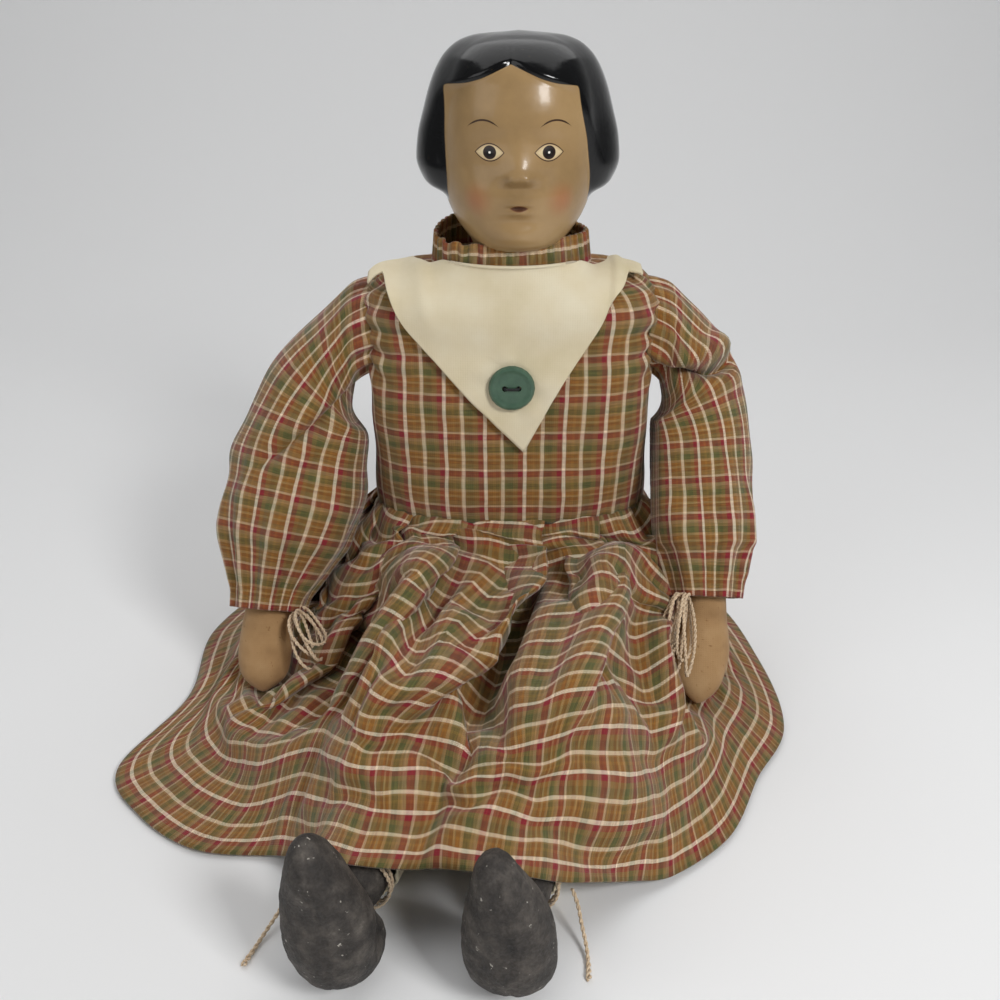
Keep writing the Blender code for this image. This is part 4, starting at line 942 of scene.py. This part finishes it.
# Cotton string, twisted from two plies: pale, dull and a little grey from handling.
cotton, tree, shader = new_material("cotton_string", Roughness=0.9, Sheen_Weight=0.3)
place = add_node(tree, "TexCoord", out="Object")
fibres = add_node(tree, "TexNoise", {"Vector": place, "Scale": 1 / (0.7 * MM), "Detail": 3.0})
tone = add_node(tree, "ValToRGB", {0: fibres},
                stops=[(0.28, "#a58a6c"), (0.5, "#d6bd9d"), (0.75, "#e8d6ba")])
feed(shader, Base_Color=tone)
fuzz = add_node(tree, "Bump", {"Height": fibres, "Strength": 0.5, "Distance": 0.15 * MM})
feed(shader, Normal=fuzz)


def twisted_string(name, points, diameter, fray=0.0):
    """Two plies laid round a smooth line through the points, as one mesh; gives it and the line."""
    at, length = route(points)
    count = int(length / (0.42 * diameter)) + 2
    line = at(np.linspace(0, 1, count))
    along = unit(np.gradient(line, axis=0))
    side = [unit(np.cross(along[0], np.cross((0.3, 0.2, 0.9), along[0])))]
    for direction in along[1:]:
        side.append(unit(side[-1] - direction * (side[-1] @ direction)))
    side = np.array(side)
    other = np.cross(along, side)
    travelled = np.linspace(0, length, count)
    turn = travelled / (PLY_LAY * diameter) * 2 * np.pi
    spread = 0.22 * diameter * (1 + fray * np.clip((travelled - length) / (8 * MM) + 1, 0, 1))
    curve = bpy.data.curves.new(name, "CURVE")
    curve.dimensions = "3D"
    curve.bevel_depth = 0.28 * diameter
    curve.bevel_resolution = 1
    curve.use_fill_caps = True
    for ply in (0, np.pi):
        ring = side * np.cos(turn + ply)[:, None] + other * np.sin(turn + ply)[:, None]
        strand = line + ring * spread[:, None]
        spline = curve.splines.new("POLY")
        spline.points.add(count - 1)
        spline.points.foreach_set("co", np.column_stack((strand, np.ones(count))).ravel())
    obj = bpy.data.objects.new(name, curve)
    bpy.context.scene.collection.objects.link(obj)
    choose(obj)
    bpy.ops.object.convert(target="MESH")
    weld(obj)
    bpy.ops.object.shade_smooth()
    return obj, line, length


def winding(path, share, reference, radius, length):
    """Turns of string round a tube at a share of its path."""
    turn = np.linspace(0, TIE_TURNS, 24 * TIE_TURNS + 1)
    pitch = (STRING + 2 * CLEARANCE) / length
    centre, across, third = sections(path, share + (turn - TIE_TURNS / 2) * pitch, reference)
    angle = 2 * np.pi * turn[:, None]
    return centre + (third * np.cos(angle) + across * np.sin(angle)) * radius


LOOP_REACH = (1.0, 0.82, 0.94, 0.72, 0.98, 0.86, 0.9)
LOOP_WIDTH = (0.9, 1.15, 0.85, 1.2, 0.9, 1.05, 0.9)


def loose_loops(count, reach, width):
    """Drooping loops of unlike size, as distances along, across and sideways from the knot."""
    turn = np.linspace(0, count, 26 * count + 1)
    loop = np.minimum(turn.astype(int), count - 1)
    swing = 2 * np.pi * (turn - loop)
    along = reach * np.array(LOOP_REACH)[loop] * (1 - np.cos(swing)) / 2
    across = width * np.array(LOOP_WIDTH)[loop] * np.sin(swing)
    fan = 0.6 + 0.8 * along / reach
    sideways = (turn - count / 2) * (STRING + 2 * CLEARANCE) * fan + 0.8 * MM * np.sin(4.6 * np.pi * turn)
    return along, across, sideways


for name, arm in ARMS.items():
    path, length = arm_path(arm)
    tie = cuff_tie(arm, length)
    turns = winding(path, tie, FRONT_TO_BACK, WRIST + GATHERED + STRING / 2, length)
    wrapped, _, _ = twisted_string(f"{name}_wrist_string", turns, STRING)
    wear(wrapped, cotton, "cotton_string", f"{name}_arm", f"{name}_wrist_tie")

    centre = path(tie + 7 * MM / length)[0]
    down = unit(path(1.0)[0] - path(tie)[0])
    bow = BOWS[name]
    outward = unit(bow["outward"] - down * (down @ bow["outward"]))
    hang = unit(down + outward * bow["lift"])
    spread = unit(np.cross(hang, outward))
    thick = np.cross(spread, hang)
    knot = centre + outward * (WRIST + 2 * EASE + 1.5 * STRING + bow["width"] / 2)
    along, over, sideways = loose_loops(bow["loops"], bow["length"], bow["width"])
    loops = knot + np.outer(along, hang) + np.outer(sideways, spread if bow["flat"] else thick)
    loops += np.outer(over, thick if bow["flat"] else spread)
    string, line, string_length = twisted_string(f"{name}_wrist_loops", loops, STRING)
    wear(string, cotton, "cotton_string", f"{name}_arm", f"{name}_wrist_bow")


# Legs: stuffed muslin tubes sewn to the front of the seat, in pantaloon legs of the cream cotton.
# A length of the same string is tied round each ankle, at the top of the boot.

UP = np.array((0.0, 0.0, 1.0))
HIP_SPACING = 48 * MM
LEG_LENGTH = 152 * MM
THIGH = 17 * MM
ANKLE = 12.5 * MM
PANTALOON_TOP = 0.27
ANKLE_TIE = 0.93
PANTALOON_END = 0.9
HIP = np.array((0.0, -44.879 * MM, 20.7 * MM))
LEGS = {
    "right": {"side": -1, "swing": math.radians(13.5), "loose_end": 44 * MM, "boot_aside": 4.5 * MM,
              "boot_size": 1.0},
    "left": {"side": 1, "swing": math.radians(9), "loose_end": 32 * MM, "boot_aside": 1 * MM,
             "boot_size": 0.94},
}
leg_radius = smooth_curve((0.0, 0.02, 0.09, 0.2, 0.55, 0.9, 0.985, 1.0),
                          (0.0, 0.42 * THIGH, 0.8 * THIGH, THIGH, 0.92 * THIGH, ANKLE, 0.9 * ANKLE, 0.0))
pantaloon_ease = smooth_curve((PANTALOON_TOP, 0.5, 0.8, PANTALOON_END), np.array((1.5, 1.5, 1.5, 1.0)) * MM)


def hip_of(leg):
    return HIP + (leg["side"] * HIP_SPACING / 2, 0, 0)


def leg_heading(leg):
    return np.array((-math.sin(leg["swing"]), -math.cos(leg["swing"]), 0.0))


def leg_path(leg):
    top = hip_of(leg) - leg_heading(leg) * 0.8 * THIGH
    ankle = hip_of(leg) + leg_heading(leg) * LEG_LENGTH
    ankle[2] = ANKLE + GATHERED + STRING + CLEARANCE
    return route([top + (ankle - top) * share for share in (0, 0.33, 0.67, 1)])


def make_pantaloon_leg(name, leg):
    path, length = leg_path(leg)

    def place(u, v):
        share = PANTALOON_END - (PANTALOON_END - PANTALOON_TOP) * v
        centre, across, third = sections(path, share, UP)
        angle = 2 * np.pi * u
        gather = 0.5 * MM * np.cos(17 * angle) * smoothstep(0.7, 0.9, share)
        size = leg_radius(np.minimum(share, 0.9)) + pantaloon_ease(share) + gather
        return centre + (across * np.cos(angle)[:, None] - third * np.sin(angle)[:, None]) * size[:, None]

    around = 2 * math.pi * (THIGH + 2 * EASE)
    cut_length = length * (PANTALOON_END - PANTALOON_TOP)
    made = formed_grid(f"{name}_pantaloon", 96, 40, place, lambda u, v: (u * around, v * cut_length))
    work_with(made, "SOLIDIFY", thickness=CLOTH, offset=1.0)
    wear(made, cream, "cream_cotton", f"{name}_leg", f"{name}_pantaloon_leg")


for name, leg in LEGS.items():
    made = soft_copy(f"{name}_leg", f"{name}_stuffed_leg", 2)
    wear(made, muslin, "muslin", f"{name}_leg", f"{name}_leg")
    make_pantaloon_leg(name, leg)
    path, length = leg_path(leg)
    turns = winding(path, ANKLE_TIE, UP, ANKLE + STRING / 2 + CLEARANCE, length)
    wrapped, _, _ = twisted_string(f"{name}_ankle_string", turns, STRING)
    wear(wrapped, cotton, "cotton_string", f"{name}_leg", f"{name}_ankle_tie")

    centre, _, third = (value[0] for value in sections(path, np.array([ANKLE_TIE]), UP))
    out = third * math.copysign(1.0, third[0] * leg["side"])
    floor = STRING / 2 + CLEARANCE
    start = centre + out * (ANKLE + GATHERED + 1.5 * STRING + CLEARANCE)
    points = []
    for outward, forward, height in ((0, 0, 1.0), (0.07, 0.06, 0.72), (0.13, 0.17, 0.4), (0.2, 0.33, 0.12),
                                     (0.24, 0.5, 0.0), (0.26, 0.7, 0.0)):
        spot = start + (out * outward + leg_heading(leg) * forward) * leg["loose_end"]
        spot[2] = floor + (centre[2] - floor) * height
        points.append(spot)
    end, line, end_length = twisted_string(f"{name}_ankle_string_end", points, STRING, fray=1.2)
    wear(end, cotton, "cotton_string", f"{name}_leg", f"{name}_ankle_tie_end")


# Boots: stuffed cloth feet with the toes up, coated in thick charcoal paint that is rubbed and chipped.
# The paint runs up over the ankles, and a seam goes down the middle of each boot.

BOOT_TOP = 0.84
SEAM = 0.5 * MM
TOE_NARROWING = 0.28

# Brushed paint over coarse cloth: matt and gritty, worn to the white gesso in specks on the high places.
boot_paint, tree, shader = new_material("charcoal_boot_paint")
place = add_node(tree, "TexCoord", out="Object")
dabs = add_node(tree, "TexNoise", {"Vector": place, "Scale": 1 / (9 * MM), "Detail": 8.0, "Roughness": 0.68})
tone = add_node(tree, "ValToRGB", {0: dabs},
                stops=[(0.3, "#211e1c"), (0.48, "#3a3531"), (0.62, "#544e48"),
                       (0.78, "#7a736b")])
grit = add_node(tree, "TexNoise", {"Vector": place, "Scale": 1 / (0.9 * MM), "Detail": 4.0})
specks = add_node(tree, "TexNoise", {"Vector": place, "Scale": 1 / (2.2 * MM), "Detail": 3.0})
worn = add_node(tree, "MapRange", {0: specks, 1: 0.69, 2: 0.74, 3: 0.0, 4: 0.8})
rubbed = add_node(tree, "Mix", {0: worn, 6: tone, 7: linear("#c9c3b8")}, out=2,
                  data_type="RGBA")
feed(shader, Base_Color=rubbed)
dulled = add_node(tree, "MapRange", {0: grit, 1: 0.3, 2: 0.7, 3: 0.62, 4: 0.92})
feed(shader, Roughness=dulled)
coarse = add_node(tree, "Bump", {"Height": grit, "Strength": 0.8, "Distance": 0.4 * MM})
daubed = add_node(tree, "Bump", {"Height": dabs, "Normal": coarse, "Strength": 0.8,
                                 "Distance": 1.4 * MM})
feed(shader, Normal=daubed)


def shape_boot(obj, outer, middle, leg):
    """Draws the skin in along the seam, with a dimple at each stitch, and narrows the toe."""
    places, normals = read_points(obj.data), read_points(obj.data, "normal")
    drawn = np.exp(-((places[:, 0] - middle) / (1.1 * MM)) ** 2) * (normals[:, 1] < 0)
    stitch = 0.7 + 0.3 * np.cos(2 * np.pi * places[:, 2] / (3.2 * MM))
    places -= normals * (SEAM * drawn * stitch)[:, None].astype(np.float32)
    narrowing = 1 - TOE_NARROWING * smoothstep(36 * MM, 66 * MM, places[:, 2])
    places[:, 0] = outer + (places[:, 0] - outer) * narrowing + leg["boot_aside"]
    places[:, 2] *= leg["boot_size"]
    obj.data.vertices.foreach_set("co", places.ravel())


for name, leg in LEGS.items():
    boot = soft_copy(f"{name}_boot", f"{name}_painted_boot", 4)
    knead(boot, 15 * MM, 1.1 * MM, 20.0 + leg["side"])
    knead(boot, 3 * MM, 0.25 * MM, 30.0 + leg["side"])
    boot_low, boot_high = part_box(f"{name}_boot")
    shape_boot(boot, boot_low.x, (boot_low.x + boot_high.x) / 2, leg)
    wear(boot, boot_paint, "boot_cloth", f"{name}_leg", f"{name}_boot")
    stuffed = bpy.data.objects[f"{name}_stuffed_leg"]
    stuffed.data.materials.append(boot_paint)
    for polygon in stuffed.data.polygons:
        along = (np.array(polygon.center) - hip_of(leg)) @ leg_heading(leg)
        polygon.material_index = int(along > BOOT_TOP * LEG_LENGTH)


# Skirt: a straight length of the plaid laid in knife pleats at the waist, with its stripes running round it.
# It is draped by a cloth simulation over both legs and the floor, with a stitched hem.

PLEATS = 14
PLEAT_COLUMNS = 14
SKIRT_ROWS = 42
WAIST_HEIGHT = 84 * MM
HEM_STRIP = 4 * MM
SKIRT_ROUND = 63 * REPEAT
SETTLING_FRAMES = 26
# The hem as it lies, going round from the front towards the doll's left, in mm
HEM = ((-28, -188, 29), (-12, -193, 33), (2, -197, 36), (16, -192, 27), (27, -187, 22), (45, -174, 8),
       (60, -167, 3), (86, -146, 2.5), (104, -114, 2.5), (124, -80, 2.5), (124, -28, 2.5), (110, 32, 2.5),
       (62, 62, 2.5), (0, 70, 2.5), (-64, 67, 2.5), (-126, 46, 2.5), (-154, -2, 2.5), (-152, -58, 2.5),
       (-169, -107, 2.5), (-152, -134, 2.5), (-124, -153, 2.5), (-90, -158, 4), (-74, -178, 24),
       (-58, -192, 36), (-42, -191, 32))


def leg_tent(x, y):
    """Height of cloth that hangs over the two legs at places on the floor plan."""
    total = np.zeros(len(x))
    for leg in LEGS.values():
        hip, heading = hip_of(leg), leg_heading(leg)
        out = np.stack((x - hip[0], y - hip[1], 0 * x), axis=1)
        share = np.clip(out @ heading / LEG_LENGTH, -0.15, 1.0)
        cover = 19.7 * MM - 5 * MM * np.maximum(share, 0)
        aside = np.linalg.norm(out - np.outer(share * LEG_LENGTH, heading), axis=1)
        total = (total ** 6 + ((2 * cover + 4 * MM) / (1 + (aside / (1.5 * cover)) ** 4)) ** 6) ** (1 / 6)
    return total


hem_path, _ = route(np.array(HEM + HEM[:1]) * MM)


def skirt_base(turn, down):
    """The smooth drape from waist to hem, and the way out from the body."""
    angle = 2 * np.pi * turn
    top = torso_surface(angle, np.full(len(turn), WAISTLINE), 0.6 * MM)
    top[:, 2] = WAIST_HEIGHT
    hem = hem_path(turn % 1.0)
    out = hem - top
    out[:, 2] = 0
    drop = (1 - down) ** 2.4
    in_front = np.maximum(np.cos(angle), 0)
    spot = top + out * (down ** 1.4)[:, None]
    floor = leg_tent(spot[:, 0], spot[:, 1]) + 2.5 * MM
    floor += (hem[:, 2] - floor) * down ** 8
    spot[:, 2] = WAIST_HEIGHT * drop + (1 - drop) * floor
    puff = (1.5 * MM + 12 * MM * (1 - in_front)) * np.sin(np.pi * np.clip(2.5 * down, 0, 1))
    return spot + unit(out) * puff[:, None], unit(out)


def skirt_place(u, v):
    """The skirt before it settles: pleats that open from the waist to the hem, v from hem to waist."""
    down = 1 - v
    pleat = u * PLEATS
    phase = pleat % 1.0
    fold = np.where(phase < 2 / 3, 3 * phase, 2 - 3 * (phase - 2 / 3)) + np.floor(pleat)
    depth = np.where(phase < 2 / 3, 1.5 * phase, 3 - 3 * phase)
    opened = smoothstep(0.2, 0.85, down)
    turn = (fold * (1 - opened) + (pleat + 0.5) * opened - 0.5) / PLEATS
    spot, out = skirt_base(turn, down)
    uneven = (1 + 0.5 * np.sin(7.3 * np.floor(pleat) + 1.0)) * smoothstep(1.0, 0.72, down)
    swing = depth * uneven * ((1 + 3.5 * smoothstep(0.0, 0.07, down)) * MM
                              + 9 * MM * np.sin(np.pi * np.minimum(down, 0.9) / 0.9))
    spot += out * (swing * (1 - opened * 0.6))[:, None]
    spot[:, 2] += swing * opened * (1 - 0.8 * smoothstep(0.85, 1.0, down))
    return spot


skirt = formed_grid("plaid_skirt", PLEATS * PLEAT_COLUMNS, SKIRT_ROWS, skirt_place,
                    lambda u, v: (v, u * SKIRT_ROUND),
                    {"height": lambda u, v: v, "turn": lambda u, v: u % 1.0})


def read_mark(mesh, mark):
    """The values of a point attribute."""
    values = np.empty(len(mesh.vertices), np.float32)
    mesh.attributes[mark].data.foreach_get("value", values)
    return values


height = read_mark(skirt.data, "height")


def weigh(name, stations, weights):
    """A vertex group on the skirt whose weight follows the height from hem to waist."""
    group = skirt.vertex_groups.new(name=name)
    for level in np.unique(height):
        weight = float(np.interp(level, stations, weights))
        group.add([int(i) for i in np.flatnonzero(height == level)], weight, "REPLACE")
    return name


# The cloth is let out as it settles, most in the lap and hardly at the hem, so that it falls into folds.
drape = skirt.modifiers.new("drape", "CLOTH")
drape.settings.quality = 5
drape.settings.mass = 0.0008
drape.settings.air_damping = 2.0
drape.settings.tension_stiffness = drape.settings.compression_stiffness = 30.0
drape.settings.shear_stiffness = 8.0
drape.settings.bending_stiffness = 0.01
drape.settings.tension_damping = drape.settings.compression_damping = drape.settings.shear_damping = 1.0
drape.settings.bending_damping = 0.05
drape.settings.vertex_group_mass = weigh("held", (0, 0.001, 0.03, 0.84, 0.9, 0.96, 0.999, 1),
                                         (0.95, 0.95, 0, 0, 0.3, 0.6, 1, 1))
drape.settings.pin_stiffness = 1.0
drape.settings.vertex_group_shrink = weigh("taut", (0, 0.26, 0.4, 0.64, 0.8, 1), (1, 1, 0, 0, 0.8, 1))
drape.settings.shrink_max = -0.02
drape.settings.shrink_min = -0.6
drape.collision_settings.distance_min = 1 * MM
drape.collision_settings.collision_quality = 2
drape.collision_settings.use_self_collision = True
drape.collision_settings.self_distance_min = 1 * MM
bpy.ops.object.select_all(action="DESELECT")
bpy.ops.mesh.primitive_plane_add(size=1.2)
ground = bpy.context.active_object


def leg_form(name, leg):
    """A closed tube a little fatter than a dressed leg, for the cloth to fall on."""
    path, length = leg_path(leg)

    def place(u, v):
        share = 0.02 + 0.97 * v
        centre, across, third = sections(path, share, UP)
        angle = 2 * np.pi * u
        size = (leg_radius(np.clip(share, 0.1, 0.9)) + 3.2 * MM) * np.where((v == 0) | (v == 1), 0, 1)
        return centre + (across * np.cos(angle)[:, None] + third * np.sin(angle)[:, None]) * size[:, None]

    return formed_grid(name, 32, 24, place, closed=True)


forms = [ground] + [leg_form(f"{name}_form", leg) for name, leg in LEGS.items()]
solid = forms + [bpy.data.objects[name] for name in (
    "stuffed_torso", "right_painted_boot", "left_painted_boot", "right_stuffed_arm", "left_stuffed_arm",
    "right_plaid_sleeve", "left_plaid_sleeve")]
for obj in solid:
    obj.modifiers.new("touch", "COLLISION")
    obj.collision.thickness_outer = 1 * MM
    obj.collision.cloth_friction = 20.0
drape.point_cache.frame_end = SETTLING_FRAMES
for moment in range(1, SETTLING_FRAMES + 1):
    bpy.context.scene.frame_set(moment)
settled = bpy.data.meshes.new_from_object(skirt.evaluated_get(bpy.context.evaluated_depsgraph_get()))
bpy.context.scene.frame_set(1)
skirt.modifiers.clear()
skirt.data = settled
for obj in solid:
    obj.modifiers.remove(obj.modifiers["touch"])
for obj in forms:
    bpy.data.objects.remove(obj)


def lay_plaid(mesh):
    """Measures the settled cloth up from its hem, so that the plaid keeps its scale in the folds."""
    places = read_points(mesh)
    rank = {}
    for mark in ("turn", "height"):
        rank[mark] = np.unique(np.round(read_mark(mesh, mark), 4), return_inverse=True)[1]
    grid = np.zeros((rank["turn"].max() + 1, rank["height"].max() + 1, 3))
    grid[rank["turn"], rank["height"]] = places
    steps = np.linalg.norm(np.diff(grid, axis=1, prepend=grid[:, :1]), axis=2)
    steps = np.mean([np.roll(steps, shift, axis=0) for shift in range(PLEAT_COLUMNS)], axis=0)
    up = np.cumsum(np.roll(steps, -PLEAT_COLUMNS // 2, axis=0), axis=1)[rank["turn"], rank["height"]]
    cut = np.empty((len(mesh.loops), 2), np.float32)
    mesh.uv_layers[0].data.foreach_get("uv", cut.ravel())
    cut[:, 0] = up[read_corners(mesh)] - HEM_STRIP
    mesh.uv_layers[0].data.foreach_set("uv", cut.ravel())


lay_plaid(settled)
work_with(skirt, "SUBSURF", levels=1, render_levels=1)
work_with(skirt, "SOLIDIFY", thickness=CLOTH, offset=0.0)
wear(skirt, plaid, "plaid", None, "skirt_front", "skirt_back")
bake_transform(skirt)


# Stage: a pale floor that sweeps up into a pale wall, one soft lamp at the upper right, a wide one
# overhead and a low even light all round.

WALL = 1.1
SWEEP = 0.6
bpy.ops.object.select_all(action="DESELECT")
bpy.ops.mesh.primitive_plane_add(size=8.0, location=(0, WALL - 4.0, 0))
floor = bpy.context.active_object
floor.name = "floor"
bpy.ops.object.transform_apply(location=True)


def select_back_edges(highest):
    """Selects the level edges of the floor along the wall, below a height."""
    bpy.ops.object.mode_set(mode="EDIT")
    bpy.ops.mesh.select_mode(type="EDGE")
    bpy.ops.mesh.select_all(action="DESELECT")
    bpy.ops.object.mode_set(mode="OBJECT")
    for edge in floor.data.edges:
        ends = [floor.data.vertices[i].co for i in edge.vertices]
        edge.select = all(end.y > WALL - 0.01 and end.z < highest for end in ends)
    bpy.ops.object.mode_set(mode="EDIT")


select_back_edges(0.01)
bpy.ops.mesh.extrude_region_move(TRANSFORM_OT_translate={"value": (0, 0, 3)})
select_back_edges(0.01)
bpy.ops.mesh.bevel(offset=SWEEP, segments=24, affect="EDGES")
bpy.ops.object.mode_set(mode="OBJECT")
bpy.ops.object.shade_smooth()
paper, tree, shader = new_material("pale_paper", Roughness=0.9)
shader.inputs["Base Color"].default_value = linear("#ececec")
floor.data.materials.append(paper)

for lamp, where, size, power in (("key_lamp", (0.5, -0.75, 0.75), 0.26, 6.2),
                                 ("overhead_lamp", (0.0, 0.6, 1.4), 2.2, 16.5),
                                 ("fill_lamp", (-0.9, -0.8, 0.7), 0.9, 3.2)):
    light = bpy.data.lights.new(lamp, "AREA")
    light.size = size
    light.energy = power
    holder = bpy.data.objects.new(lamp, light)
    holder.location = where
    holder.rotation_euler = (Vector((0, -0.05, 0.12)) - Vector(where)).to_track_quat("-Z", "Y").to_euler()
    bpy.context.scene.collection.objects.link(holder)

world = bpy.data.worlds.new("even_light")
bpy.context.scene.world = world
world.use_nodes = True
world.node_tree.nodes["Background"].inputs[0].default_value = linear("#d6d8da")
seen = add_node(world.node_tree, "LightPath", out="Is Camera Ray")
strength = add_node(world.node_tree, "MapRange", {0: seen, 3: 0.22, 4: 0.75})
world.node_tree.links.new(strength, world.node_tree.nodes["Background"].inputs[1])

camera = bpy.data.cameras.new("camera")
camera.lens = 36.0
camera.sensor_width = 36.0
eye_point = bpy.data.objects.new("camera", camera)
eye_point.location = (-5 * MM, -440 * MM, 297 * MM)
eye_point.rotation_euler = (math.radians(90 - 26.5), 0, 0)
bpy.context.scene.collection.objects.link(eye_point)
bpy.context.scene.camera = eye_point
bpy.context.scene.view_settings.view_transform = "Standard"
